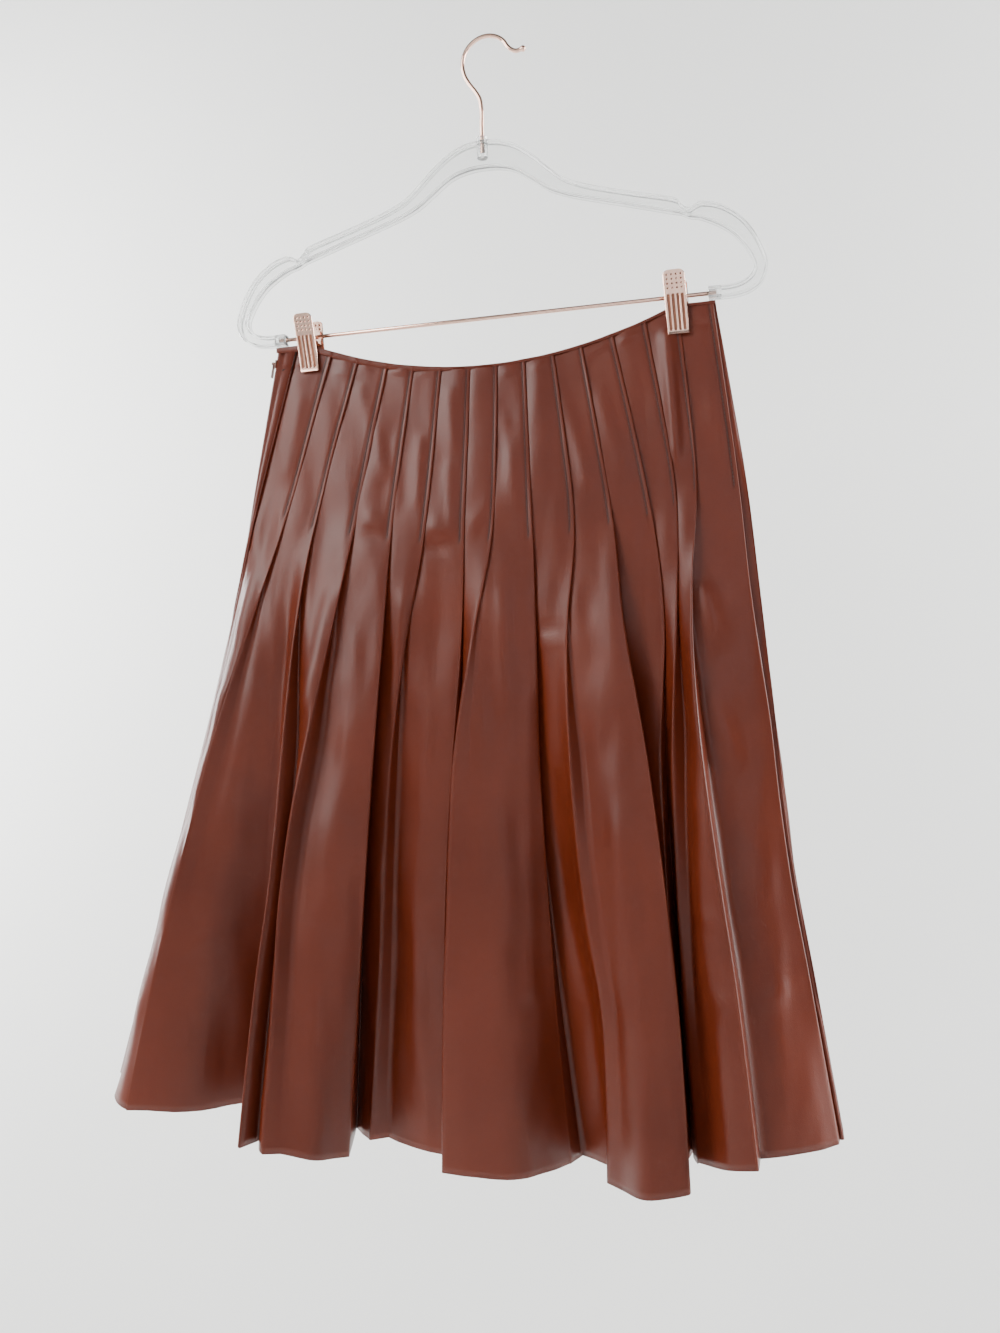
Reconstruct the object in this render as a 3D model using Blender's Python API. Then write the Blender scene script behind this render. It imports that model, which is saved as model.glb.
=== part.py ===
"""A knife-pleated faux leather midi skirt, held by its waist edge in the two clips of a clear hanger.

Metres, +Z up. The front of the skirt faces -Y, and +X is to the right of someone who looks at it.
The origin is the seat inside the hanger's hook, where whatever carries the hanger touches the wire.

The cloth is one tube of knife pleats, cut as a front and a back that meet at the two side seams.
A level of the tube is a fraction of the cut length, 0 at the waist edge and 1 at the hem. The pleats
are sewn down to the level SEWN and hang free below it. Going round the tube towards the right of
someone who looks at its outside, each pleat is a crease that stands out, an underlay that turns back
under it to a valley, and a panel that comes out of the valley to the next crease.
"""

from collections import namedtuple
from math import asin, cos, hypot, pi, radians, sin

import bmesh
import bpy
from mathutils import Matrix, Vector

MM = 0.001

# The cloth, in millimetres.
CUT_LENGTH = 648.0
WALL = 1.0
NOSE_WAIST = 1.3  # width of the blunt fold behind a crease, sewn flat at the waist edge
NOSE_HEM = 3.0
SEAM_GAP = 0.3
SEAM_TURN_WAIST = 2.4  # how far the wall runs straight out from a side seam
SEAM_TURN_HEM = 7.0
WAIST_SIDE_Z = -238.0  # the waist edge at the clips and the side seams
WAIST_SAG = 32.0  # how far the edge sags between the clips
WAIST_SAG_HALF_SPAN = 155.0
WAIST_DEPTH = 6.0  # from the middle plane to the creases, at the waist edge
SEWN_DEPTH = 8.0  # how much deeper the middle of each side stands at the level SEWN
SEWN_HALF_SPAN = 200.0
UNDERLAY = 14.0  # width of the underlay where it is sewn flat
SEAM_CLEAR = 5.0  # no valley comes nearer to a side seam than this
UNDERLAY_DEPTH = 7.5  # how far a valley lies behind its crease where it is sewn flat
DEEPEST_SEWN = -0.75  # no valley reaches further in than this, down to the level SEWN and at the hem
DEEPEST_FRONT_HEM = 8.0
DEEPEST_BACK_HEM = -36.0
OPENING = 0.7  # power of the way below the sewing: under 1, a pleat swings open soon
CREASE_CLEAR = 2.4  # a panel passes this far behind the crease that covers it
LONGEST_MITRE = 0.6  # as a share of the way to the next point of the section

SEWN = 0.21
FREE_MIDDLE = 0.50
LEVELS = (0.0, SEWN, 0.35, FREE_MIDDLE, 0.66, 0.82, 1.0)
ROWS = (0.0, 0.10, 0.21, 0.24, 0.28, 0.32, 0.37, 0.43, 0.50, 0.60, 0.70, 0.80, 0.90, 1.0)

# A row for each crease, from left to right as seen from outside, in millimetres.
# waist ... hem: the crease's x at the seven LEVELS. out: how far it stands out at the hem.
# mid_along, mid_back, hem_along, hem_back: its valley from the crease, at FREE_MIDDLE and at the hem.
# bulge_a, bulge_b, bulge_c: how the panel after the valley swells outwards at the hem.
Pleat = namedtuple(
    "Pleat",
    "waist sewn upper middle lower low hem out"
    " mid_along mid_back hem_along hem_back bulge_a bulge_b bulge_c",
)
FRONT_PLEATS = (
    Pleat(-166, -207, -230, -256, -286, -316, -350, 15, 9, -5, 16, -17, 4, 8, 6),
    Pleat(-135, -177, -207, -238, -264, -287, -308, 69, 13, 6, 20, 1, -18, -48, -76),
    Pleat(-111, -151, -166, -173, -178, -188, -195, 86, 9, 13, 9, 18, 0, 0, 0),
    Pleat(-85, -115, -134, -154, -170, -174, -178, 80, 8, 14, 14, 5, 6, 9, 6),
    Pleat(-62, -82, -90, -98, -105, -111, -118, 48, -12, 21, -15, 54, 0, 0, 0),
    Pleat(-38, -53, -72, -88, -97, -105, -115, 10, 4, 9, 14, 9, 2, 4, 3),
    Pleat(-13, -19, -24, -34, -42, -46, -49, 12, 8, 11, 9, 20, 0, 0, 0),
    Pleat(10, 5, -13, -29, -34, -38, -39, 45, 15, 2, 19, -3, 12, 15, 9),
    Pleat(33, 38, 39, 39, 43, 48, 57, 6, -7, 14, 7, 16, -10, -17, -12),
    Pleat(57, 72, 65, 66, 75, 90, 92, 40, 9, 6, 13, -11, 9, 13, 9),
    Pleat(80, 102, 111, 127, 140, 150, 156, 63, -15, 28, -16, 69, 0, 0, 0),
    Pleat(105, 132, 141, 136, 138, 143, 150, 10, 4, 8, 5, 18, 0, 0, 0),
    Pleat(131, 152, 151, 146, 147, 152, 160, 32, 10, 8, 9, -8, 3, 5, 4),
    Pleat(156, 168, 163, 166, 178, 192, 204, 60, 4, 12, 2, 20, 2, 3, 2),
    Pleat(176, 196, 206, 219, 229, 245, 262, 6, -3, 6, 2, 10, 1, 1, 0),
)
# The back, from its own left to its own right, as seen from behind.
BACK_PLEATS = (
    Pleat(-166, -187, -201, -216, -230, -244, -258, 42, 6, 4, 14, -8, 6, 10, 6),
    Pleat(-142, -160, -170, -174, -174, -171, -167, 62, -3, 14, -4, 30, 0, 0, 0),
    Pleat(-118, -133, -147, -158, -160, -156, -151, 84, 11, 3, 16, -2, 8, 11, 6),
    Pleat(-94, -106, -104, -98, -90, -80, -70, 74, -12, 18, -14, 44, 0, 0, 0),
    Pleat(-70, -79, -84, -84, -79, -72, -62, 40, 5, 9, 12, 6, 2, 3, 2),
    Pleat(-46, -52, -50, -46, -41, -34, -27, 38, 5, 9, 13, 20, 0, 0, 0),
    Pleat(-22, -25, -32, -34, -30, -24, -17, 78, 13, 2, 18, -4, 9, 13, 8),
    Pleat(2, 2, 8, 20, 34, 50, 66, 60, -6, 14, 6, 34, -6, -10, -6),
    Pleat(26, 29, 36, 50, 68, 84, 98, 86, 9, 5, 14, -6, 8, 12, 9),
    Pleat(50, 56, 70, 92, 118, 144, 168, 88, -12, 20, -15, 60, 0, 0, 0),
    Pleat(74, 83, 95, 109, 128, 146, 162, 46, 6, 7, 8, 12, 0, 0, 0),
    Pleat(98, 110, 112, 120, 136, 156, 177, 72, 9, 4, 14, -7, 7, 9, 6),
    Pleat(122, 138, 152, 170, 196, 224, 252, 70, -8, 16, -7, 36, -3, -5, -3),
    Pleat(146, 166, 180, 200, 226, 255, 283, 58, 6, 8, 12, 0, 4, 6, 4),
    Pleat(168, 192, 208, 232, 264, 300, 338, 26, 4, 6, 3, 8, 1, 1, 0),
)

# The side seams, as seen from in front: x at the seven LEVELS, and y at the hem.
Seam = namedtuple("Seam", "waist sewn upper middle lower low hem hem_y")
LEFT_SEAM = Seam(-186, -214, -232, -257, -285, -315, -346, 8)
RIGHT_SEAM = Seam(185, 205, 214, 223, 233, 249, 267, 12)

# The waist edge: a narrow turned band over the top of each side's folds.
EDGE_WALL = 1.0
EDGE_HEIGHT = 6.0
EDGE_LEAN = 0.5  # its lower rim stands out this much more than its top
EDGE_ABOVE = 0.8  # how far its web lies above the folds
EDGE_STEPS = 24

# The hanger, in millimetres. A row for each station of its right half, from the middle out to the end
# of the bar: the place of the upper and of the lower rim. The left half mirrors it.
Station = namedtuple("Station", "top_x top_z low_x low_z")
HANGER_STATIONS = (
    Station(0, -84, 0, -106.5),
    Station(14, -85.5, 13, -107.5),
    Station(28, -91, 27, -111.5),
    Station(43, -102, 41, -121),
    Station(57, -115, 55, -131),
    Station(69, -124.5, 71, -138),
    Station(88, -132.5, 90, -144),
    Station(120, -142, 121, -153),
    Station(154, -151.5, 153, -162.5),
    Station(160, -157, 160, -164.5),
    Station(166, -161.5, 167, -168),
    Station(172, -159, 173, -169.5),
    Station(178, -158, 177, -171),
    Station(191, -162, 186, -175.5),
    Station(205, -172, 197, -183),
    Station(215, -185, 206, -193),
    Station(222, -200, 212.5, -204),
    Station(225, -212, 215, -212),
    Station(221, -224, 212.5, -218),
    Station(211, -231, 206, -222.5),
    Station(198, -233.5, 197, -224.5),
    Station(180, -233.5, 180, -224.5),
)
RIM_HALF_WIDTH = 4.3
RIM_HEIGHT = 1.9
WEB_HALF_WIDTH = 1.1
BOSS_RADIUS = 4.6
BOSS_TOP_Z = -80.0
BOSS_LOW_Z = -98.0
SOCKET_RADIUS = 4.2
SOCKET_LENGTH = 10.0
FIT = 0.3  # clearance between neighbouring pieces
CUT_PAST = 1.0  # how far a cutter runs past the face that it opens

WIRE_RADIUS = 1.65
STEM_LOW_Z = -94.0
# (x, z) of the wire's route between the stem's lower end and the arc, and past the arc to the tip.
STEM_AND_BEND = (
    (0, STEM_LOW_Z),
    (0, -72),
    (0, -56),
    (-1.2, -48.5),
    (-5, -41.5),
    (-10, -34.5),
    (-14, -26.5),
)
ARC_X = 5.0
ARC_Z = -18.0
ARC_RADIUS = 20.33
ARC_FROM = 180.0  # degrees, from +X towards +Z
ARC_TO = 24.0
ARC_STEPS = 8
LIP = ((27, -12.8), (30.5, -14.2))
TIP = (36.0, -13.3)
TIP_RADIUS = 2.4
TIP_STEPS = 6

BAR_Z = -229.0
BAR_RADIUS = 1.65
BAR_END_X = 186.0

# The clips: a bent plate in front and one behind, each with two ears on the bar, and a spring between.
Clip = namedtuple("Clip", "bar_x slant")  # slant: how far it shifts towards +X for each mm downwards
CLIPS = {"left": Clip(-157.8, 0.104), "right": Clip(155.1, 0.062)}
CLIP_HALF_WIDTH = 8.5
CLIP_PLATE = 1.2
CLIP_CORNER = 4.0
CORNER_STEPS = 4
# The plate's middle line, seen from the side: how far out of the middle plane, and above the bar.
PlatePoint = namedtuple("PlatePoint", "out up")
PLATE_LINE = (
    PlatePoint(12.6, 17.5),
    PlatePoint(12.1, 13.5),
    PlatePoint(10.4, 0.0),
    PlatePoint(9.5, -7.0),
    PlatePoint(9.3, -17.5),
    PlatePoint(8.2, -21.0),
    PlatePoint(8.1, -29.0),
    PlatePoint(9.0, -31.5),
)
EAR_OUTLINE = (
    PlatePoint(11.4, 8.0),
    PlatePoint(2.0, 5.0),
    PlatePoint(-3.5, 2.6),
    PlatePoint(-4.2, 0.0),
    PlatePoint(-3.5, -2.6),
    PlatePoint(2.0, -5.0),
    PlatePoint(9.8, -5.0),
)
EAR_THICKNESS = 1.2
EAR_OUTER_X = {"front": 8.4, "back": 6.9}
OUTWARDS = {"front": -1, "back": 1}  # along Y
SPRING_RADIUS = 3.3
SPRING_HALF_LENGTH = 4.6

# The side zip, at the top of the left seam. Its frame leans with the seam: -X out of the cloth, -Z down.
SLIDER_BELOW_EDGE = 8.0
SLIDER_LENGTH = 7.0
SLIDER_HALF_WIDTH = 2.6
SLIDER_FACE = WALL / 2 + FIT  # from the middle of the seam's wall to the slider's inner face
SLIDER_THICKNESS = 1.0
CHEEK_THICKNESS = 0.7
CHEEK_HALF_HEIGHT = 1.0
PIN_RADIUS = 0.5
PIN_OUT = SLIDER_FACE + SLIDER_THICKNESS + 1.9
EYE_RADIUS = 1.5
EYE_HALF_WIDTH = 1.5
PULL_LENGTH = 12.0
PULL_HALF_THICKNESS = 0.45

COLOURS = {  # base colour, roughness, metallic
    "leather": ((0.155, 0.042, 0.020), 0.42, 0.0),
    "zip_paint": ((0.150, 0.050, 0.028), 0.35, 0.0),
    "rose_gold": ((0.82, 0.50, 0.38), 0.22, 1.0),
    "clear": ((0.90, 0.92, 0.92), 0.08, 0.0),
}


# Levels, creases, valleys and seams.


def between(start, end, s):
    return start + (end - start) * s


def smooth(row, t):
    """Reads a smooth curve through the first values of a row, given at LEVELS, at the level t."""
    last = len(LEVELS) - 1
    k = next((i for i in range(last - 1) if t < LEVELS[i + 1]), last - 1)

    def slope(i):
        low, high = max(i - 1, 0), min(i + 1, last)
        return (row[high] - row[low]) / (LEVELS[high] - LEVELS[low])

    width = LEVELS[k + 1] - LEVELS[k]
    s = (t - LEVELS[k]) / width
    start = (1 + 2 * s) * (1 - s) ** 2 * row[k] + s * (1 - s) ** 2 * width * slope(k)
    end = s * s * (3 - 2 * s) * row[k + 1] + s * s * (s - 1) * width * slope(k + 1)
    return start + end


def sewn_share(t):
    """0 at the waist edge, 1 from the end of the sewing downwards."""
    return min(t / SEWN, 1.0)


def free_share(t):
    """0 down to the end of the sewing, 1 at the hem."""
    return max(t - SEWN, 0.0) / (1 - SEWN)


def waist_z(x):
    return WAIST_SIDE_Z - WAIST_SAG * max(0.0, 1 - (x / WAIST_SAG_HALF_SPAN) ** 2)


def fall(waist_x, hem_x, hem_out, t):
    """How far the level t hangs below the waist edge. What flares out hangs less low."""
    flare = hypot(hem_x - waist_x, hem_out - WAIST_DEPTH)
    return (CUT_LENGTH**2 - flare**2) ** 0.5 * t


def crease(pleat, t):
    """A point of a crease, its z below the waist edge."""
    sewn_out = WAIST_DEPTH + SEWN_DEPTH * max(0.0, 1 - (pleat.sewn / SEWN_HALF_SPAN) ** 2)
    out = between(WAIST_DEPTH, sewn_out, sewn_share(t))
    if t > SEWN:
        out = between(sewn_out, pleat.out, free_share(t))
    return Vector((smooth(pleat, t), -out, -fall(pleat.waist, pleat.hem, pleat.out, t)))


def valley(pleat, t, leftmost, deepest):
    """The valley behind a crease, never further left than leftmost or further in than deepest."""
    at = crease(pleat, t)
    if t <= FREE_MIDDLE:
        s = max(t - SEWN, 0.0) / (FREE_MIDDLE - SEWN)
        along = between(-UNDERLAY, pleat.mid_along, s**OPENING)
        back = between(UNDERLAY_DEPTH, pleat.mid_back, s)
    else:
        s = (t - FREE_MIDDLE) / (1 - FREE_MIDDLE)
        along = between(pleat.mid_along, pleat.hem_along, s)
        back = between(pleat.mid_back, pleat.hem_back, s)
    return Vector((max(at.x + along, leftmost), min(at.y + back, deepest), at.z))


def seam_points(seam, t):
    """Where the wall ends at a side seam, and where it turns into the panel beside it."""
    z = -fall(seam.waist, seam.hem, WAIST_DEPTH, t)
    at = Vector((smooth(seam, t), seam.hem_y * free_share(t), z))
    turn = between(SEAM_TURN_WAIST, SEAM_TURN_HEM, free_share(t))
    return at - Vector((0, SEAM_GAP / 2, 0)), at - Vector((0, turn, 0))


# The section of the wall at one level.


def outward(run):
    """The direction out of the cloth beside a run of the section."""
    return Vector((run.y, -run.x, 0)).normalized()


def panel_points(start, end, over, bulges):
    """Three points of a panel between its valley and its crease. over is the crease that covers it."""
    middle = 0.5
    if over and start.x < over.x:
        middle = min(max((over.x + 2.0 - start.x) / max(end.x - start.x, 1.0), 0.35), 0.68)
    points = []
    for s, bulge in zip((middle * 0.56, middle, between(middle, 1, 0.5)), bulges):
        at = start.lerp(end, s) + outward(end - start) * bulge
        if over and at.x < over.x + CREASE_CLEAR:
            at.y = max(at.y, over.y + CREASE_CLEAR)
        points.append(at)
    return points


def nose_points(before, at, after, t):
    """The two corners of the blunt fold at a crease."""
    across = (at - before).to_2d().normalized() + (after - at).to_2d().normalized()
    return at, at + across.normalized().to_3d() * between(NOSE_WAIST, NOSE_HEM, free_share(t))


def middle_line(pleats, left, right, deepest_hem, t):
    """The middle of the wall at the level t, from the left seam to the right one."""
    deepest = between(DEEPEST_SEWN, deepest_hem, free_share(t))
    right_end, right_turn = seam_points(right, t)
    creases = [crease(pleat, t) for pleat in pleats] + [right_turn]
    points = [*seam_points(left, t)]
    points += panel_points(points[-1], creases[0], None, (0, 0, 0))
    for i, pleat in enumerate(pleats):
        start = valley(pleat, t, points[0].x + SEAM_CLEAR, deepest)
        swelling = free_share(t) ** 1.5
        bulges = [bulge * swelling for bulge in (pleat.bulge_a, pleat.bulge_b, pleat.bulge_c)]
        points += [*nose_points(points[-1], creases[i], start, t), start]
        points += panel_points(start, creases[i + 1], creases[i], bulges)
    return points + [right_turn, right_end]


def surface_point(points, i, side):
    """The wall's surface beside point i, on the outer side (1) or the inner one (-1)."""
    runs = [points[k + 1] - points[k] for k in (i - 1, i) if 0 <= k < len(points) - 1]
    normals = [outward(run) for run in runs]
    direction = (normals[0] + normals[-1]).normalized()
    reach = WALL / 2 / max(direction.dot(normals[0]), 0.02)
    turns_away = normals[0].cross(normals[-1]).z * side > 0
    longest = WALL if turns_away else LONGEST_MITRE * min(run.to_2d().length for run in runs)
    return points[i] + direction * side * min(reach, longest)


def wall(pleats, left, right, deepest_hem):
    """The wall's rows from waist to hem, each its outer points and its inner ones."""
    rows = []
    for t in ROWS:
        points = middle_line(pleats, left, right, deepest_hem, t)
        everywhere = range(len(points))
        rows.append([[surface_point(points, i, side) for i in everywhere] for side in (1, -1)])
    edge = [[waist_z(point.x) for point in surface] for surface in rows[0]]
    for row in rows:
        for surface, heights in zip(row, edge):
            for point, height in zip(surface, heights):
                point.z += height
    return rows


# Solids.


def material(name):
    found = bpy.data.materials.get(name)
    if found:
        return found
    colour, roughness, metallic = COLOURS[name]
    made = bpy.data.materials.new(name)
    made.use_nodes = True
    surface = made.node_tree.nodes["Principled BSDF"]
    surface.inputs["Base Color"].default_value = (*colour, 1.0)
    surface.inputs["Roughness"].default_value = roughness
    surface.inputs["Metallic"].default_value = metallic
    return made


def place(obj, location=(0, 0, 0), parent=None):
    """Puts an object into the scene, at a place in millimetres under its parent."""
    obj.location = Vector(location) * MM
    obj.parent = parent
    bpy.context.scene.collection.objects.link(obj)
    return obj


def add_mesh(name, bm, material_name, location=(0, 0, 0), parent=None):
    """Turns a bmesh in millimetres into an object with its faces pointing out."""
    bmesh.ops.scale(bm, vec=(MM, MM, MM), verts=bm.verts)
    bmesh.ops.recalc_face_normals(bm, faces=bm.faces)
    mesh = bpy.data.meshes.new(name)
    bm.to_mesh(mesh)
    bm.free()
    mesh.shade_smooth()
    mesh.set_sharp_from_angle(angle=radians(40))
    mesh.materials.append(material(material_name))
    return place(bpy.data.objects.new(name, mesh), location, parent)


def combine(obj, operation, bm):
    """Joins a shape to an object, or cuts it out. The shape is in the object's own millimetres."""
    name = f"{obj.name}_{operation.lower()}"
    other = add_mesh(name, bm, obj.data.materials[0].name, parent=obj.parent)
    other.location = obj.location
    other.hide_render = True
    other.display_type = "WIRE"
    modifier = obj.modifiers.new(operation.title(), "BOOLEAN")
    modifier.operation = operation
    modifier.object = other


def bridge(bm, rings):
    """Joins closed rings of points, all of one length, by quads, and returns the rings' vertices."""
    made = [[bm.verts.new(point) for point in ring] for ring in rings]
    for low, high in zip(made, made[1:]):
        for i, corner in enumerate(low):
            j = (i + 1) % len(low)
            bm.faces.new((corner, low[j], high[j], high[i]))
    return made


def ring_solid(rings):
    """A solid through closed rings, closed by a face at each end."""
    bm = bmesh.new()
    made = bridge(bm, rings)
    bm.faces.new(made[0])
    bm.faces.new(made[-1])
    return bm


def wall_solid(rows):
    """A solid through a wall's rows. Its two surfaces are split into triangles in the same way."""
    bm = bmesh.new()
    outer, inner = ([[bm.verts.new(at) for at in row[side]] for row in rows] for side in (0, 1))
    for k in range(len(rows) - 1):
        for i in range(len(outer[k]) - 1):
            corners = ((k, i), (k, i + 1), (k + 1, i + 1), (k + 1, i))
            diagonals = [[outer[a][b].co for a, b in pair] for pair in (corners[::2], corners[1::2])]
            spans = [(start - end).length for start, end in diagonals]
            first = int(spans[1] < spans[0])
            for skipped in (first + 1, (first + 3) % 4):
                triangle = [corner for n, corner in enumerate(corners) if n != skipped]
                bm.faces.new([outer[a][b] for a, b in triangle])
                bm.faces.new([inner[a][b] for a, b in triangle[::-1]])
        for i in (0, -1):
            bm.faces.new((outer[k][i], outer[k + 1][i], inner[k + 1][i], inner[k][i]))
    for k in (0, -1):
        for i in range(len(outer[k]) - 1):
            bm.faces.new((outer[k][i], outer[k][i + 1], inner[k][i + 1], inner[k][i]))
    return bm


def cylinder(radius, axis, start, end, centre=(0, 0, 0), sides=20):
    """A cylinder along an axis, from start to end on it, its middle line through centre."""
    direction = Vector([float(axis == name) for name in "XYZ"])
    middle = Vector(centre) + direction * (start + end) / 2
    turn = Vector((0, 0, 1)).rotation_difference(direction).to_matrix().to_4x4()
    bm = bmesh.new()
    bmesh.ops.create_cone(
        bm,
        cap_ends=True,
        segments=sides,
        radius1=radius,
        radius2=radius,
        depth=abs(end - start),
        matrix=Matrix.Translation(middle) @ turn,
    )
    return bm


def box(low, high):
    """A box between two opposite corners."""
    low, high = Vector(low), Vector(high)
    bm = bmesh.new()
    bmesh.ops.create_cube(bm, size=1, matrix=Matrix.Translation((low + high) / 2))
    bmesh.ops.scale(
        bm, vec=high - low, space=Matrix.Translation(-(low + high) / 2), verts=bm.verts
    )
    return bm


# The skirt.


def turned_round(seam):
    """A side seam as seen from behind."""
    return Seam(*(-value for value in seam))


def waist_edge(name, left, right):
    """The turned band of one side: down the outside of the folds, and over their top."""
    start, end = left.waist - WALL / 2, right.waist + WALL / 2
    face = WAIST_DEPTH + WALL / 2 + FIT
    rings = []
    for i in range(EDGE_STEPS + 1):
        x = between(start, end, i / EDGE_STEPS)
        under = waist_z(x) + EDGE_ABOVE
        low = under + EDGE_WALL - EDGE_HEIGHT
        section = (
            (-face - EDGE_LEAN, low),
            (-face - EDGE_LEAN - EDGE_WALL, low),
            (-face - EDGE_WALL, under + EDGE_WALL),
            (-SEAM_GAP / 2, under + EDGE_WALL),
            (-SEAM_GAP / 2, under),
            (-face, under),
        )
        rings.append([Vector((x, y, z)) for y, z in section])
    return add_mesh(name, ring_solid(rings), "leather")


def add_skirt():
    front_rows = wall(FRONT_PLEATS, LEFT_SEAM, RIGHT_SEAM, DEEPEST_FRONT_HEM)
    add_mesh("skirt_front", wall_solid(front_rows), "leather")
    waist_edge("waist_edge_front", LEFT_SEAM, RIGHT_SEAM)

    left, right = turned_round(RIGHT_SEAM), turned_round(LEFT_SEAM)
    back_rows = wall(BACK_PLEATS, left, right, DEEPEST_BACK_HEM)
    skirt_back = add_mesh("skirt_back", wall_solid(back_rows), "leather")
    skirt_back.rotation_euler.z = pi
    waist_edge("waist_edge_back", left, right).rotation_euler.z = pi


def add_zip():
    """The slider lies on the left seam and leans with it. The pull hangs from the slider's pin."""
    seam = LEFT_SEAM
    drop = fall(seam.waist, seam.hem, WAIST_DEPTH, SEWN)
    base = bpy.data.objects.new("zip_base", None)
    base.rotation_euler.y = asin((seam.waist - seam.sewn) / hypot(seam.waist - seam.sewn, drop))
    share = SLIDER_BELOW_EDGE / drop
    place(base, (between(seam.waist, seam.sewn, share), 0, WAIST_SIDE_Z - SLIDER_BELOW_EDGE))

    outer = -SLIDER_FACE - SLIDER_THICKNESS
    plate = box((outer, -SLIDER_HALF_WIDTH, -SLIDER_LENGTH), (-SLIDER_FACE, SLIDER_HALF_WIDTH, 0))
    slider = add_mesh("zip_slider", plate, "zip_paint", parent=base)
    pin_z = -SLIDER_LENGTH / 2
    cheek_inner = SLIDER_HALF_WIDTH - CHEEK_THICKNESS
    for side in (-1, 1):
        faces = sorted((side * cheek_inner, side * SLIDER_HALF_WIDTH))
        low = (-PIN_OUT - CHEEK_HALF_HEIGHT, faces[0], pin_z - CHEEK_HALF_HEIGHT)
        high = (outer + SLIDER_THICKNESS / 2, faces[1], pin_z + CHEEK_HALF_HEIGHT)
        combine(slider, "UNION", box(low, high))
    reach = SLIDER_HALF_WIDTH - CHEEK_THICKNESS / 2
    combine(slider, "UNION", cylinder(PIN_RADIUS, "Y", -reach, reach, (-PIN_OUT, 0, pin_z), 12))

    eye = cylinder(EYE_RADIUS, "Y", -EYE_HALF_WIDTH, EYE_HALF_WIDTH, sides=16)
    pull = add_mesh("zip_pull", eye, "zip_paint", (-PIN_OUT, 0, pin_z), base)
    low = (-PULL_HALF_THICKNESS, -EYE_HALF_WIDTH, -PULL_LENGTH)
    high = (PULL_HALF_THICKNESS, EYE_HALF_WIDTH, -(PIN_RADIUS + EYE_RADIUS) / 2)
    combine(pull, "UNION", box(low, high))
    past = EYE_HALF_WIDTH + CUT_PAST
    combine(pull, "DIFFERENCE", cylinder(PIN_RADIUS + FIT, "Y", -past, past, sides=12))


# The hanger.


def add_hanger_body():
    """An H section swept from the end of the left arm to the end of the right one."""
    mirrored = [Station(-s.top_x, s.top_z, -s.low_x, s.low_z) for s in HANGER_STATIONS[:0:-1]]
    rings = []
    for station in (*mirrored, *HANGER_STATIONS):
        top = Vector((station.top_x, 0, station.top_z))
        low = Vector((station.low_x, 0, station.low_z))
        up = (top - low).normalized()
        rim, web = Vector((0, RIM_HALF_WIDTH, 0)), Vector((0, WEB_HALF_WIDTH, 0))
        low_rim, top_rim = low + up * RIM_HEIGHT, top - up * RIM_HEIGHT
        left = [low - rim, low_rim - rim, low_rim - web, top_rim - web, top_rim - rim, top - rim]
        right = [top + rim, top_rim + rim, top_rim + web, low_rim + web, low_rim + rim, low + rim]
        rings.append(left + right)
    body = add_mesh("hanger_body", ring_solid(rings), "clear")
    combine(body, "UNION", cylinder(BOSS_RADIUS, "Z", BOSS_LOW_Z, BOSS_TOP_Z))
    bottom = STEM_LOW_Z - FIT
    combine(body, "DIFFERENCE", cylinder(WIRE_RADIUS + FIT, "Z", bottom, BOSS_TOP_Z + CUT_PAST))
    socket_x = HANGER_STATIONS[-1].low_x
    for side in (-1, 1):
        centre = (0, 0, BAR_Z)
        start, end = side * (socket_x + FIT), side * (socket_x + SOCKET_LENGTH)
        combine(body, "UNION", cylinder(SOCKET_RADIUS, "X", start, end, centre))
        start, end = side * (socket_x - CUT_PAST), side * (BAR_END_X + FIT)
        combine(body, "DIFFERENCE", cylinder(BAR_RADIUS + FIT, "X", start, end, centre))


def hook_route():
    """(x, z, radius) of the hook's wire from its stem to the ball at its tip."""
    route = [(x, z, WIRE_RADIUS) for x, z in STEM_AND_BEND]
    for i in range(ARC_STEPS + 1):
        angle = radians(between(ARC_FROM, ARC_TO, i / ARC_STEPS))
        route.append((ARC_X + ARC_RADIUS * cos(angle), ARC_Z + ARC_RADIUS * sin(angle), WIRE_RADIUS))
    route += [(x, z, WIRE_RADIUS) for x, z in LIP]
    tip = Vector(TIP)
    along = (tip - Vector(LIP[-1])).normalized()
    first = asin(WIRE_RADIUS / TIP_RADIUS)
    for i in range(TIP_STEPS):
        angle = between(first, pi, i / TIP_STEPS)
        at = tip - along * TIP_RADIUS * cos(angle)
        route.append((at.x, at.y, TIP_RADIUS * sin(angle)))
    return route


def add_hook():
    curve = bpy.data.curves.new("hanger_hook", "CURVE")
    curve.dimensions = "3D"
    curve.bevel_depth = MM
    curve.bevel_resolution = 3
    curve.use_fill_caps = True
    curve.resolution_u = 3
    spline = curve.splines.new("BEZIER")
    route = hook_route()
    spline.bezier_points.add(len(route) - 1)
    for point, (x, z, radius) in zip(spline.bezier_points, route):
        point.co = Vector((x, 0, z)) * MM
        point.radius = radius
        point.handle_left_type = "AUTO"
        point.handle_right_type = "AUTO"
    curve.materials.append(material("rose_gold"))
    place(bpy.data.objects.new("hanger_hook", curve))


def slanted(bm, clip):
    """Shifts each level of a clip's shape sideways, as the hanging clip leans."""
    for vertex in bm.verts:
        vertex.co.x -= clip.slant * vertex.co.z
    return bm


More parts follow.
